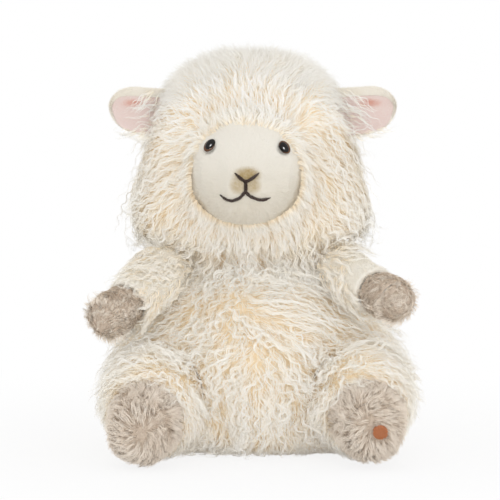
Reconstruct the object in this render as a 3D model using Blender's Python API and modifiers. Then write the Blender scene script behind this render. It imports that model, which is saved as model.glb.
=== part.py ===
# A seated plush sheep, modelled piece by piece as it is sewn, stuffed and put together.
# Metres, +Z up. The sheep looks along -Y and sits on the plane z = 0.
# Left and right are the viewer's, as seen from in front of the sheep.

import math

import bmesh
import bpy
from mathutils import Matrix, Vector
from mathutils.bvhtree import BVHTree

# Fits that every piece shares
GAP = 0.0003
SWING_CLEARANCE = 0.0002
FLOOR_CUT = 0.0005
OVERRUN = 0.050
CUTTER_SIZE = 0.400
MERGE_DISTANCE = 0.00001

# How finely the round and soft shapes are divided
BODY_SEGMENTS = 10
FACE_SEGMENTS = 10
LIMB_SEGMENTS = 8
EAR_SEGMENTS = 6
TAIL_SEGMENTS = 6
BALL_SEGMENTS = 16
SOCKET_SEGMENTS = 22
TURN_STEPS = 12
DOME_STEPS = 4
ROOT_STEPS = 3
ROOT_ARC = math.radians(105)

# Body: a pear, widest low down, with a flat seat
TORSO_HEIGHT = 0.140
TORSO_HALF_WIDTH = 0.102
TORSO_HALF_DEPTH = 0.084
TORSO_ACROSS = 0.005
TORSO_WALL = 0.010
# Rows are height, half width, half depth and how far back the ring's middle lies
TORSO_RING_SHARES = (
    (1.000, 0.00, 0.00, 0.06),
    (0.900, 0.46, 0.48, 0.06),
    (0.700, 0.66, 0.71, 0.04),
    (0.480, 0.97, 0.94, 0.01),
    (0.260, 1.03, 1.00, 0.00),
    (0.080, 0.93, 0.92, 0.00),
    (0.000, 0.70, 0.68, 0.00),
    (0.000, 0.00, 0.00, 0.00),
)

# Bean bag in the seat, which keeps the sheep upright
POUCH_HEIGHT = 0.036
POUCH_HALF_WIDTH = 0.047
POUCH_HALF_DEPTH = 0.040
POUCH_BACK = 0.006
POUCH_WALL = 0.0012
POUCH_MOUTH_RADIUS = 0.007
POUCH_RING_SHARES = (
    (1.00, 0.00, 0.00, 0.0),
    (0.96, 0.52, 0.52, 0.0),
    (0.50, 1.00, 1.00, 0.0),
    (0.00, 0.76, 0.76, 0.0),
    (0.00, 0.00, 0.00, 0.0),
)

# Neck: a round stuffed collar, sunk into the top of the body, that body and head both turn on
NECK_BACK = 0.007
NECK_SINK = 0.008
NECK_HEIGHT = TORSO_HEIGHT - NECK_SINK
NECK_RADIUS = 0.030
NECK_WALL = 0.006
NECK_MOUTH_RADIUS = 0.013

# Head: the woolly hood, narrow at the crown and wide at the jaw
HEAD_TURN = math.radians(-2.5)
HOOD_LIFT = 0.004
HOOD_BOTTOM = TORSO_HEIGHT + HOOD_LIFT
HOOD_HEIGHT = 0.127
HOOD_HALF_WIDTH = 0.080
HOOD_HALF_DEPTH = 0.061
HOOD_BACK = 0.010
HOOD_WALL = 0.010
HOOD_RING_SHARES = (
    (1.000, 0.00, 0.00, 0.04),
    (0.985, 0.34, 0.37, 0.04),
    (0.895, 0.66, 0.70, 0.04),
    (0.710, 0.82, 0.91, 0.03),
    (0.480, 0.89, 1.00, 0.01),
    (0.260, 0.98, 0.99, 0.00),
    (0.090, 1.02, 0.95, 0.00),
    (0.010, 0.78, 0.74, 0.00),
    (0.000, 0.00, 0.00, 0.00),
)

# Face: a smooth long muzzle that stands out of the hood
FACE_UP_SHARE = 0.10
FACE_BOTTOM = HOOD_BOTTOM + FACE_UP_SHARE * HOOD_HEIGHT
FACE_HEIGHT = 0.085
FACE_HALF_WIDTH = 0.041
FACE_HALF_DEPTH = 0.046
FACE_WALL = 0.0035
FACE_RING_SHARES = (
    (1.000, 0.00, 0.00, -0.48),
    (0.955, 0.50, 0.40, -0.49),
    (0.810, 0.79, 0.64, -0.58),
    (0.620, 0.97, 0.83, -0.73),
    (0.430, 1.02, 1.00, -0.89),
    (0.250, 0.97, 0.99, -0.91),
    (0.080, 0.68, 0.68, -0.89),
    (0.000, 0.00, 0.00, -0.86),
)

# Eyes: domes on a shank that a washer locks behind the face
EYE_ACROSS_SHARE = 0.615
EYE_UP_SHARE = 0.686
EYE_YAW = math.radians(37)
EYE_PITCH = math.radians(8)
EYE_RADIUS = 0.0052
EYE_PUPIL_RADIUS = 0.0044
EYE_BULGE = 0.0026
EYE_RIM = 0.0009
EYE_SOCKET = 0.0008
SHANK_RADIUS = 0.0015
SHANK_LENGTH = 0.0100
WASHER_RADIUS = 0.0058
WASHER_THICKNESS = 0.0014
WASHER_SLACK = 0.0004

# Stitched nose and mouth, as places on the face seen from in front
STITCH_RADIUS = 0.0009
STITCH_STEPS = 4
NOSE_PATH_SHARES = (
    (-0.140, 0.493), (-0.065, 0.458), (0.033, 0.431), (0.131, 0.456), (0.237, 0.493),
)
PHILTRUM_PATH_SHARES = ((0.033, 0.414), (0.033, 0.358))
MOUTH_PATH_SHARES = (
    (-0.393, 0.318), (-0.295, 0.287), (-0.180, 0.275), (-0.065, 0.298), (0.033, 0.340),
    (0.131, 0.306), (0.262, 0.288), (0.344, 0.290), (0.409, 0.300),
)

# Ears: a plush back with a lining let into it, hinged where it leaves the hood
EAR_ACROSS_SHARE = 0.835
EAR_BACK = 0.002
EAR_SWEEP = math.radians(6)
EAR_ROOT_RADIUS = 0.0108
EAR_LENGTH = 0.0330
EAR_HALF_HEIGHT = 0.0180
EAR_HALF_THICKNESS = 0.0042
EAR_CUP = 0.0060
EAR_RING_SHARES = (
    (1.00, 0.00, 0.00, 0.0),
    (0.93, 0.60, 0.70, 0.0),
    (0.66, 1.00, 0.98, 0.0),
    (0.30, 0.84, 1.02, 0.0),
    (-0.04, 0.50, 1.05, 0.0),
    (-0.28, 0.42, 0.80, 0.0),
    (-0.30, 0.00, 0.00, 0.0),
)
EAR_UP_SHARES = {"left": 0.722, "right": 0.706}
EAR_RISES = {"left": math.radians(8), "right": math.radians(3)}
LINING_LENGTH = 0.0300
LINING_HALF_HEIGHT = 0.0140
LINING_HALF_THICKNESS = 0.0024
LINING_FORWARD = 0.0038
LINING_RING_SHARES = (
    (1.00, 0.00, 0.00, 0.0),
    (0.92, 0.58, 0.66, 0.0),
    (0.58, 1.02, 1.00, 0.0),
    (0.24, 0.68, 0.90, 0.0),
    (0.12, 0.00, 0.00, 0.0),
)

# Arms: short sleeves with a round paw and an end pad
ARM_ROOT_RADIUS = 0.0200
ARM_LENGTH = 0.0805
PAW_RADIUS = 0.0200
ARM_WALL = 0.0040
WRIST_SHARE = 0.52
PAW_PAD_SHARE = 0.86
ARM_RING_SHARES = (
    (1.000, 0.00, 0.00, 0.0),
    (0.970, 0.58, 0.58, 0.0),
    (0.850, 1.00, 0.98, 0.0),
    (0.680, 1.07, 1.04, 0.0),
    (0.500, 0.84, 0.82, 0.0),
    (0.260, 0.80, 0.80, 0.0),
)

# Legs: woolly thighs that end in a round foot with a sole panel
LEG_ROOT_RADIUS = 0.0345
LEG_LENGTH = 0.0790
FOOT_HALF_WIDTH = 0.0255
FOOT_HALF_HEIGHT = 0.0275
LEG_WALL = 0.0060
ANKLE_SHARE = 0.47
SOLE_SHARE = 0.85
LEG_RING_SHARES = (
    (1.000, 0.00, 0.00, 0.0),
    (0.970, 0.60, 0.60, 0.0),
    (0.810, 1.00, 1.00, 0.0),
    (0.460, 1.02, 1.02, 0.0),
)

# A plain stitched dot on the right sole
DOT_RADIUS = 0.0052
DOT_THICKNESS = 0.0010
DOT_ACROSS_SHARE = 0.11
DOT_UP_SHARE = 0.07
# Rows are radius and thickness, from the middle of the top to the edge
DOT_RING_SHARES = ((0.0, 1.0), (0.7, 0.85), (1.0, 0.4))

# Tail, hidden behind the body
TAIL_UP_SHARE = 0.32
TAIL_PROUD = 0.0045
TAIL_ROOT_RADIUS = 0.0125
TAIL_LENGTH = 0.0290
TAIL_RADIUS = 0.0098
TAIL_WALL = 0.0028
TAIL_MOUTH_RADIUS = 0.0030
TAIL_DROOP = math.radians(36)
TAIL_RING_SHARES = (
    (1.00, 0.00, 0.00, 0.0),
    (0.92, 0.64, 0.64, 0.0),
    (0.55, 1.04, 1.04, 0.0),
)

# Where each limb is sewn on, as shares of the body's half width, half depth and height,
# and then how far it points outwards from straight ahead and downwards from level
SHOULDER_SHARES = {"left": (-0.650, -0.190, 0.865), "right": (0.580, -0.190, 0.870)}
SHOULDER_ANGLES = {
    "left": (math.radians(37), math.radians(22)),
    "right": (math.radians(33), math.radians(11)),
}
HIP_SHARES = {"left": (-0.685, -0.715, 0.285), "right": (0.685, -0.700, 0.293)}
HIP_ANGLES = {
    "left": (math.radians(9), math.radians(12)),
    "right": (math.radians(8), math.radians(11)),
}

UP = Vector((0.0, 0.0, 1.0))
BACK = Vector((0.0, 1.0, 0.0))
SIDE_SHARES = (("left", -1.0), ("right", 1.0))


def clear_scene():
    for old in list(bpy.data.objects):
        bpy.data.objects.remove(old, do_unlink=True)


def make_collection(name):
    collection = bpy.data.collections.new(name)
    bpy.context.scene.collection.children.link(collection)
    return collection


def make_material(name, colour, roughness, metallic=0.0):
    material = bpy.data.materials.new(name)
    material.use_nodes = True
    shader = material.node_tree.nodes["Principled BSDF"]
    shader.inputs["Base Color"].default_value = (*colour, 1.0)
    shader.inputs["Roughness"].default_value = roughness
    shader.inputs["Metallic"].default_value = metallic
    return material


clear_scene()
PARTS = make_collection("plush_sheep")
CUTTERS = make_collection("cutters")

LONG_WOOL = ((0.86, 0.78, 0.64), 0.95)
SHORT_PLUSH = ((0.90, 0.84, 0.73), 0.90)
PINK_PLUSH = ((0.88, 0.70, 0.66), 0.90)
TAUPE_FUR = ((0.58, 0.48, 0.39), 0.92)
FILLING = ((0.93, 0.93, 0.92), 1.00)
POUCH_CLOTH = ((0.80, 0.80, 0.80), 0.85)
PELLETS = ((0.70, 0.73, 0.76), 0.45)
BLACK_PLASTIC = ((0.012, 0.010, 0.010), 0.10)
BROWN_PLASTIC = ((0.10, 0.045, 0.020), 0.15)
WHITE_PLASTIC = ((0.75, 0.75, 0.73), 0.40)
DARK_THREAD = ((0.075, 0.042, 0.030), 0.55)
COPPER_THREAD = ((0.50, 0.14, 0.04), 0.45)


def make_empty(name, parent=None, location=Vector(), rotation=Matrix.Identity(3)):
    """A frame that pieces hang from: its origin is the pivot of the body they belong to."""
    empty = bpy.data.objects.new(name, None)
    PARTS.objects.link(empty)
    empty.parent = parent
    empty.matrix_local = Matrix.Translation(location) @ rotation.to_4x4()
    return empty


def make_object(name, mesh, parent, finish=None, location=Vector()):
    """A piece if it has a finish, and otherwise a cutter."""
    piece = bpy.data.objects.new(name, mesh)
    piece.parent = parent
    piece.location = location
    if finish:
        mesh.materials.clear()
        mesh.materials.append(make_material(name, *finish))
        PARTS.objects.link(piece)
    else:
        piece.hide_render = True
        piece.display_type = "WIRE"
        CUTTERS.objects.link(piece)
    return piece


def finish_mesh(shape, name):
    bmesh.ops.recalc_face_normals(shape, faces=shape.faces)
    mesh = bpy.data.meshes.new(name)
    shape.to_mesh(mesh)
    shape.free()
    mesh.shade_smooth()
    return mesh


def sized_rings(ring_shares, length, half_width, half_depth, start=0.0):
    """Rows of height, half width, half depth and shift, from a table of shares, top to bottom."""
    return [
        (start + height * length, wide * half_width, deep * half_depth, back * half_depth)
        for height, wide, deep, back in ring_shares
    ]


def round_root(radius):
    """The rings of a limb's round root about the origin, from its widest part down to its pole."""
    step = ROOT_ARC / ROOT_STEPS
    spread = radius / math.cos(step / 2.0)
    rings = []
    for index in range(ROOT_STEPS, -1, -1):
        half = spread * math.sin(index * step)
        rings.append((-spread * math.cos(index * step), half, half, 0.0))
    return rings


def ring_cage(name, rings, segments):
    """A sphere whose rings are moved, top to bottom, to the rows of a form.

    The rings are drawn a little wide, because subdivision pulls a ring's corners in to the
    average of three quarters of their own place and an eighth of each neighbour's.
    """
    levels = len(rings) - 1
    pull = 0.75 + 0.25 * math.cos(math.tau / segments)
    shape = bmesh.new()
    bmesh.ops.create_uvsphere(shape, u_segments=segments, v_segments=levels, radius=1.0)
    for vert in shape.verts:
        angle = math.acos(max(-1.0, min(1.0, vert.co.z)))
        level = round(angle / math.pi * levels)
        height, wide, deep, back = rings[level]
        flat = vert.co.to_2d().normalized() if 0 < level < levels else Vector((0.0, 0.0))
        vert.co = Vector((flat.x * wide / pull, flat.y * deep / pull + back, height))
    return finish_mesh(shape, name)


def smoothed(form):
    smooth = form.modifiers.new("Smooth", "SUBSURF")
    smooth.levels = 1
    smooth.render_levels = 1
    facets = form.modifiers.new("Facets", "TRIANGULATE")
    facets.quad_method = "FIXED"
    return form


def moved_in(form, inset):
    shift = form.modifiers.new("Inset", "DISPLACE")
    shift.direction = "NORMAL"
    shift.mid_level = 0.0
    shift.strength = -inset
    return form


def settled(cage):
    """A coarse copy of a cage with its points moved to where subdivision leaves them."""
    trial = smoothed(bpy.data.objects.new("trial", cage))
    CUTTERS.objects.link(trial)
    smooth_mesh = trial.evaluated_get(bpy.context.evaluated_depsgraph_get()).data
    shape = bmesh.new()
    shape.from_mesh(cage)
    for vert in shape.verts:
        vert.co = smooth_mesh.vertices[vert.index].co
    bmesh.ops.triangulate(shape, faces=shape.faces, quad_method="FIXED")
    bpy.data.objects.remove(trial)
    return finish_mesh(shape, cage.name)


def outer_form(name, cage, parent, finish=None, location=Vector(), grown=0.0):
    """The smooth outside of a soft piece."""
    form = smoothed(make_object(name, cage.copy(), parent, finish, location))
    return moved_in(form, -grown) if grown else form


def inner_form(name, cage, inset, parent, finish=None, location=Vector()):
    """The plainer inside of a skin, or a filling, that lies under the outside by an inset."""
    return moved_in(make_object(name, settled(cage), parent, finish, location), inset)


def ball_mesh(name, radius, segments=BALL_SEGMENTS):
    shape = bmesh.new()
    bmesh.ops.create_uvsphere(shape, u_segments=segments, v_segments=segments // 2, radius=radius)
    return finish_mesh(shape, name)


def rod_mesh(name, radius, bottom, top, segments=TURN_STEPS):
    shape = bmesh.new()
    bmesh.ops.create_cone(
        shape, cap_ends=True, segments=segments, radius1=radius, radius2=radius, depth=top - bottom)
    bmesh.ops.translate(shape, verts=shape.verts, vec=Vector((0.0, 0.0, (top + bottom) / 2.0)))
    return finish_mesh(shape, name)


def slab_cutter(name, parent, bottom, top):
    """A wide block between two heights along its parent's Z."""
    shape = bmesh.new()
    bmesh.ops.create_cube(shape, size=1.0)
    bmesh.ops.scale(shape, verts=shape.verts, vec=Vector((CUTTER_SIZE, CUTTER_SIZE, top - bottom)))
    bmesh.ops.translate(shape, verts=shape.verts, vec=Vector((0.0, 0.0, (top + bottom) / 2.0)))
    return make_object(name, finish_mesh(shape, name), parent)


def combine(piece, other, operation):
    step = piece.modifiers.new(operation.title() + "_" + other.name, "BOOLEAN")
    step.operation = operation
    step.solver = "EXACT"
    step.object = other


def cut(piece, *cutters):
    for cutter in cutters:
        combine(piece, cutter, "DIFFERENCE")


def join(piece, other):
    combine(piece, other, "UNION")


def aim(direction, upright):
    """The turn that points local Z along a direction and keeps local Y near a given one."""
    along = direction.normalized()
    across = upright.cross(along).normalized()
    return Matrix((across, along.cross(across), along)).transposed()


def surface_of(piece):
    """The evaluated mesh of a piece as a tree for rays, in its parent's frame."""
    depsgraph = bpy.context.evaluated_depsgraph_get()
    return BVHTree.FromObject(piece, depsgraph)


# The whole toy hangs from one frame, moved at the end so that its box is centred
SHEEP = make_empty("sheep")
FLOOR = slab_cutter("floor_cutter", SHEEP, -OVERRUN, 0.0)


def make_torso():
    """Woolly skin and filling of the body."""
    rings = sized_rings(
        TORSO_RING_SHARES, TORSO_HEIGHT + FLOOR_CUT, TORSO_HALF_WIDTH, TORSO_HALF_DEPTH, -FLOOR_CUT)
    cage = ring_cage("torso_cage", rings, BODY_SEGMENTS)
    place = Vector((TORSO_ACROSS, 0.0, 0.0))
    skin = outer_form("torso_cover", cage, SHEEP, LONG_WOOL, place)
    cut(skin, inner_form("torso_inside", cage, TORSO_WALL, SHEEP, location=place), FLOOR)
    return skin, inner_form("torso_stuffing", cage, TORSO_WALL + GAP, SHEEP, FILLING, place)


def make_pouch(stuffing):
    """A cloth bag of pellets let into the bottom of the filling."""
    bottom = TORSO_WALL - FLOOR_CUT + GAP
    place = Vector((TORSO_ACROSS, POUCH_BACK, 0.0))
    rings = sized_rings(POUCH_RING_SHARES, POUCH_HEIGHT, POUCH_HALF_WIDTH, POUCH_HALF_DEPTH, bottom)
    cage = ring_cage("pouch_cage", rings, FACE_SEGMENTS)
    pouch = inner_form("pellet_pouch", cage, 0.0, SHEEP, POUCH_CLOTH, place)
    inside = inner_form("pouch_inside", cage, POUCH_WALL, SHEEP, location=place)
    inner_form("pellet_fill", cage, POUCH_WALL + GAP, SHEEP, PELLETS, place)
    middle = bottom + POUCH_HEIGHT / 2.0
    mouth = rod_mesh("pouch_mouth", POUCH_MOUTH_RADIUS, middle, bottom + POUCH_HEIGHT + OVERRUN)
    cut(pouch, inside, make_object("pouch_mouth", mouth, SHEEP, location=place))
    cut(stuffing, inner_form("pouch_pocket", cage, -GAP, SHEEP, location=place))


def make_socket(name, parent, radius, pieces, segments=SOCKET_SEGMENTS):
    """The round hollow that a root of this radius turns in, cut out of each piece.

    It is drawn so large that every facet of it stays outside the root, and turned by half a
    facet, so that its flats and not its corners face the corners of the root.
    """
    hollow = (radius + SWING_CLEARANCE) / math.cos(math.pi / segments) ** 2
    socket = make_object(name, ball_mesh(name, hollow, segments), parent)
    socket.rotation_euler.z = math.pi / segments
    for piece in pieces:
        cut(piece, socket)


def make_neck(pivot):
    """A round collar of wool skin with the filling that joins body and head."""
    collar_mesh = ball_mesh("neck_cover", NECK_RADIUS)
    collar = make_object("neck_cover", collar_mesh, pivot, LONG_WOOL)
    inside_mesh = ball_mesh("neck_inside", NECK_RADIUS - NECK_WALL)
    inside = make_object("neck_inside", inside_mesh, pivot)
    reach = NECK_RADIUS + OVERRUN
    mouth_mesh = rod_mesh("neck_mouth", NECK_MOUTH_RADIUS, -reach, reach)
    cut(collar, inside, make_object("neck_mouth", mouth_mesh, pivot))
    filling_mesh = ball_mesh("neck_stuffing", NECK_RADIUS - NECK_WALL - GAP)
    make_object("neck_stuffing", filling_mesh, pivot, FILLING)


def make_head(pivot):
    """Hood, face and filling of the head, drawn from heights above the floor."""
    hood_rings = sized_rings(
        HOOD_RING_SHARES, HOOD_HEIGHT, HOOD_HALF_WIDTH, HOOD_HALF_DEPTH, HOOD_BOTTOM - NECK_HEIGHT)
    face_rings = sized_rings(
        FACE_RING_SHARES, FACE_HEIGHT, FACE_HALF_WIDTH, FACE_HALF_DEPTH, FACE_BOTTOM - NECK_HEIGHT)
    hood_cage = ring_cage("hood_cage", hood_rings, BODY_SEGMENTS)
    face_cage = ring_cage("face_cage", face_rings, FACE_SEGMENTS)
    hood_place = Vector((0.0, HOOD_BACK - NECK_BACK, 0.0))
    face_place = Vector((0.0, -NECK_BACK, 0.0))

    hood = outer_form("head_hood", hood_cage, pivot, LONG_WOOL, hood_place)
    hood_inside = inner_form("hood_inside", hood_cage, HOOD_WALL, pivot, location=hood_place)
    cut(hood, hood_inside, outer_form("face_opening", face_cage, pivot, None, face_place, GAP))

    outline = outer_form("face_outline", face_cage, pivot, location=face_place)
    face = outer_form("face_panel", face_cage, pivot, SHORT_PLUSH, face_place)
    face_inside = inner_form("face_inside", face_cage, FACE_WALL, pivot, location=face_place)
    cut(face, face_inside, hood_inside)

    filling = inner_form(
        "head_stuffing", hood_cage, HOOD_WALL + GAP, pivot, FILLING, hood_place)
    join(filling, inner_form(
        "muzzle_filling", face_cage, FACE_WALL + GAP, pivot, location=face_place))
    return hood, face, filling, outline


def turned_mesh(name, profile):
    """A profile of (radius, height) points, top to bottom, turned about Z with a Screw modifier."""
    mesh = bpy.data.meshes.new(name)
    points = [(radius, 0.0, height) for radius, height in profile]
    edges = [(index, index + 1) for index in range(len(points) - 1)]
    if points[0][0] > 0.0:
        edges.append((len(points) - 1, 0))
    mesh.from_pydata(points, edges, [])
    return mesh


def turned_piece(name, profile, parent, finish, steps=TURN_STEPS):
    piece = make_object(name, turned_mesh(name, profile), parent, finish)
    turn = piece.modifiers.new("Turn", "SCREW")
    turn.axis = "Z"
    turn.angle = math.tau
    turn.steps = steps
    turn.render_steps = steps
    turn.use_merge_vertices = True
    turn.merge_threshold = MERGE_DISTANCE
    return piece


def make_eye(side, sign, pivot, outline, face, filling):
    """A dome on its shank, the brown ring under it, and the washer that locks it from inside."""
    outward = Vector((
        sign * math.sin(EYE_YAW) * math.cos(EYE_PITCH),
        -math.cos(EYE_YAW) * math.cos(EYE_PITCH),
        math.sin(EYE_PITCH),
    ))
    tree = surface_of(outline)
    height = FACE_BOTTOM + EYE_UP_SHARE * FACE_HEIGHT - NECK_HEIGHT
    start = Vector((sign * EYE_ACROSS_SHARE * FACE_HALF_WIDTH, -CUTTER_SIZE, height))
    seat = tree.ray_cast(start, BACK)[0] + outline.location
    frame = make_empty("eye_" + side, pivot, seat, aim(outward, UP))

    floor = -EYE_SOCKET
    ring_bottom = floor + GAP
    ring_top = ring_bottom + EYE_RIM
    hole = SHANK_RADIUS + GAP
    turned_piece("eye_ring_" + side, (
        (hole, ring_top), (EYE_PUPIL_RADIUS, ring_top), (EYE_RADIUS, ring_bottom + EYE_RIM / 2.0),
        (EYE_RADIUS, ring_bottom), (hole, ring_bottom),
    ), frame, BROWN_PLASTIC)

    base = ring_top + GAP
    quarter = math.pi / 2.0
    dome = [
        (EYE_PUPIL_RADIUS * math.sin(step / DOME_STEPS * quarter),
         base + EYE_BULGE * math.cos(step / DOME_STEPS * quarter))
        for step in range(DOME_STEPS + 1)
    ]
    shank_end = floor - SHANK_LENGTH
    dome += [(SHANK_RADIUS, base), (SHANK_RADIUS, shank_end), (0.0, shank_end)]
    turned_piece("eye_dome_" + side, dome, frame, BLACK_PLASTIC)

    washer_top = -FACE_WALL - WASHER_SLACK
    washer_bottom = washer_top - WASHER_THICKNESS
    turned_piece("eye_washer_" + side, (
        (hole, washer_top), (WASHER_RADIUS, washer_top), (WASHER_RADIUS, washer_bottom),
        (hole, washer_bottom),
    ), frame, WHITE_PLASTIC)

    socket = rod_mesh("eye_socket_" + side, EYE_RADIUS + GAP, floor, OVERRUN)
    bore = rod_mesh("eye_bore_" + side, hole, shank_end - GAP, OVERRUN)
    seat = rod_mesh("washer_seat_" + side, WASHER_RADIUS + GAP, washer_bottom - GAP, washer_top + GAP)
    pocket = rod_mesh("washer_pocket_" + side, WASHER_RADIUS + GAP, washer_bottom - GAP, 0.0)
    bore = make_object("eye_bore_" + side, bore, frame)
    socket = make_object("eye_socket_" + side, socket, frame)
    cut(face, socket, bore, make_object("washer_seat_" + side, seat, frame))
    cut(filling, make_object("washer_pocket_" + side, pocket, frame), bore)


def smooth_path(points, steps=STITCH_STEPS):
    """Points on a smooth line through the given ones."""
    padded = [points[0] * 2.0 - points[1], *points, points[-1] * 2.0 - points[-2]]
    path = []
    for index in range(1, len(padded) - 2):
        before, start, end, after = padded[index - 1:index + 3]
        for step in range(steps):
            t = step / steps
            path.append(0.5 * (
                2.0 * start + (end - before) * t
                + (2.0 * before - 5.0 * start + 4.0 * end - after) * t ** 2
                + (3.0 * start - before - 3.0 * end + after) * t ** 3))
    path.append(points[-1])
    return path


def make_stitching(name, path_shares, pivot, outline, steps=STITCH_STEPS):
    """A raised line of satin stitch that follows the face."""
    tree = surface_of(outline)
    lift = STITCH_RADIUS + GAP
    bottom = FACE_BOTTOM - NECK_HEIGHT
    flat = [
        Vector((across * FACE_HALF_WIDTH, -CUTTER_SIZE, bottom + up * FACE_HEIGHT))
        for across, up in path_shares
    ]
    path = []
    for start in smooth_path(flat, steps):
        hit, normal = tree.ray_cast(start, BACK)[:2]
        path.append(hit + normal * lift)

    curve = bpy.data.curves.new(name, "CURVE")
    curve.dimensions = "3D"
    curve.bevel_depth = STITCH_RADIUS
    curve.bevel_resolution = 1
    curve.use_fill_caps = True
    line = curve.splines.new("POLY")
    line.points.add(len(path) - 1)
    for point, place in zip(line.points, path):
        point.co = (*place, 1.0)
    curve.materials.append(make_material(name, *DARK_THREAD))
    stitching = bpy.data.objects.new(name, curve)
    PARTS.objects.link(stitching)
    stitching.parent = pivot
    stitching.location = outline.location


def cupped(mesh, half_height, cup, forward=0.0):
    """Bends an ear's flat shape so that its upper and lower edges come forward."""
    for vert in mesh.vertices:
        vert.co.y -= cup * (vert.co.x / half_height) ** 2 + forward


def make_ear(side, sign, head, hood, filling):
    """The plush back of an ear with its lining, on the round root that it flaps on."""
    rise = EAR_RISES[side]
    outward = Vector((
        sign * math.cos(rise) * math.cos(EAR_SWEEP),
        math.sin(EAR_SWEEP),
        math.sin(rise),
    ))
    height = HOOD_BOTTOM + EAR_UP_SHARES[side] * HOOD_HEIGHT - NECK_HEIGHT
    place = Vector((sign * EAR_ACROSS_SHARE * HOOD_HALF_WIDTH, EAR_BACK - NECK_BACK, height))
    frame = make_empty("ear_pivot_" + side, head, place, aim(outward, BACK))

    ear_rings = sized_rings(EAR_RING_SHARES, EAR_LENGTH, EAR_HALF_HEIGHT, EAR_HALF_THICKNESS)
    ear_cage = ring_cage("ear_cage", ear_rings, EAR_SEGMENTS)
    lining_rings = sized_rings(
        LINING_RING_SHARES, LINING_LENGTH, LINING_HALF_HEIGHT, LINING_HALF_THICKNESS)
    lining_cage = ring_cage("lining_cage", lining_rings, EAR_SEGMENTS)
    cupped(ear_cage, EAR_HALF_HEIGHT, EAR_CUP)
    cupped(lining_cage, EAR_HALF_HEIGHT, EAR_CUP, LINING_FORWARD)
    back = outer_form("ear_back_" + side, ear_cage, frame, SHORT_PLUSH)
    cut(back, inner_form("lining_pocket_" + side, lining_cage, -GAP, frame))
    inner_form("ear_lining_" + side, lining_cage, 0.0, frame, PINK_PLUSH)
    make_socket("ear_socket_" + side, frame, EAR_ROOT_RADIUS, (hood, filling), BALL_SEGMENTS)


def make_limb(names, finishes, frame, cage, wall, cuts, floor=None):
    """A limb's skin in three lengths, split across its axis, over one filling."""
    inside = inner_form(names[0] + "_inside", cage, wall, frame)
    ends = [-CUTTER_SIZE, *cuts, CUTTER_SIZE]
    for index, name in enumerate(names[:3]):
        skin = outer_form(name, cage, frame, finishes[index])
        cut(skin, inside)
        if index > 0:
            cut(skin, slab_cutter(name + "_root_side", frame, ends[0], ends[index] + GAP))
        if index < 2:
            cut(skin, slab_cutter(name + "_tip_side", frame, ends[index + 1], ends[-1]))
        if floor:
            cut(skin, floor)
    inner_form(names[3], cage, wall + GAP, frame, FILLING)


def limb_frame(name, sign, place_shares, angles):
    """The frame of a limb, with its root on the body and Z along the limb."""
    across, deep, up = place_shares
    root = Vector((
        TORSO_ACROSS + across * TORSO_HALF_WIDTH,
        deep * TORSO_HALF_DEPTH,
        up * TORSO_HEIGHT,
    ))
    outward, downward = angles
    direction = Vector((
        sign * math.sin(outward) * math.cos(downward),
        -math.cos(outward) * math.cos(downward),
        -math.sin(downward),
    ))
    return make_empty(name, SHEEP, root, aim(direction, UP))


def make_arm(side, sign, torso_pieces):
    """Sleeve, paw, end pad and filling of one arm."""
    frame = limb_frame("shoulder_" + side, sign, SHOULDER_SHARES[side], SHOULDER_ANGLES[side])
    rings = sized_rings(ARM_RING_SHARES, ARM_LENGTH, PAW_RADIUS, PAW_RADIUS)
    cage = ring_cage("arm_cage", rings + round_root(ARM_ROOT_RADIUS), LIMB_SEGMENTS)
    make_limb(
        ("arm_sleeve_" + side, "paw_cover_" + side, "paw_pad_" + side, "arm_stuffing_" + side),
        (SHORT_PLUSH, TAUPE_FUR, TAUPE_FUR), frame, cage, ARM_WALL,
        (WRIST_SHARE * ARM_LENGTH, PAW_PAD_SHARE * ARM_LENGTH))
    make_socket("shoulder_socket_" + side, frame, ARM_ROOT_RADIUS, torso_pieces)


def make_leg(side, sign, torso_pieces):
    """Thigh, foot, sole panel and filling of one leg."""
    frame = limb_frame("hip_" + side, sign, HIP_SHARES[side], HIP_ANGLES[side])
    rings = sized_rings(LEG_RING_SHARES, LEG_LENGTH, FOOT_HALF_WIDTH, FOOT_HALF_HEIGHT)
    cage = ring_cage("leg_cage", rings + round_root(LEG_ROOT_RADIUS), LIMB_SEGMENTS)
    make_limb(
        ("leg_cover_" + side, "foot_cover_" + side, "sole_panel_" + side, "leg_stuffing_" + side),
        (LONG_WOOL, TAUPE_FUR, TAUPE_FUR), frame, cage, LEG_WALL,
        (ANKLE_SHARE * LEG_LENGTH, SOLE_SHARE * LEG_LENGTH), floor=FLOOR)
    make_socket("hip_socket_" + side, frame, LEG_ROOT_RADIUS, torso_pieces)
    return frame, cage


def make_sole_dot(frame, cage):
    """A plain round patch of satin stitch on the sole."""
    outline = outer_form("sole_outline", cage, frame)
    tree = surface_of(outline)
    start = Vector((DOT_ACROSS_SHARE * FOOT_HALF_WIDTH, DOT_UP_SHARE * FOOT_HALF_HEIGHT, CUTTER_SIZE))
    hit, normal = tree.ray_cast(start, -UP)[:2]
    place = make_empty("sole_dot_frame", frame, hit, aim(normal, UP))
    lift = GAP + DOT_RADIUS ** 2 / (2.0 * LEG_LENGTH)
    top = [(wide * DOT_RADIUS, lift + thick * DOT_THICKNESS) for wide, thick in DOT_RING_SHARES]
    turned_piece(
        "sole_dot_stitches", [*top, (DOT_RADIUS, lift), (0.0, lift)], place, COPPER_THREAD)


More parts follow.
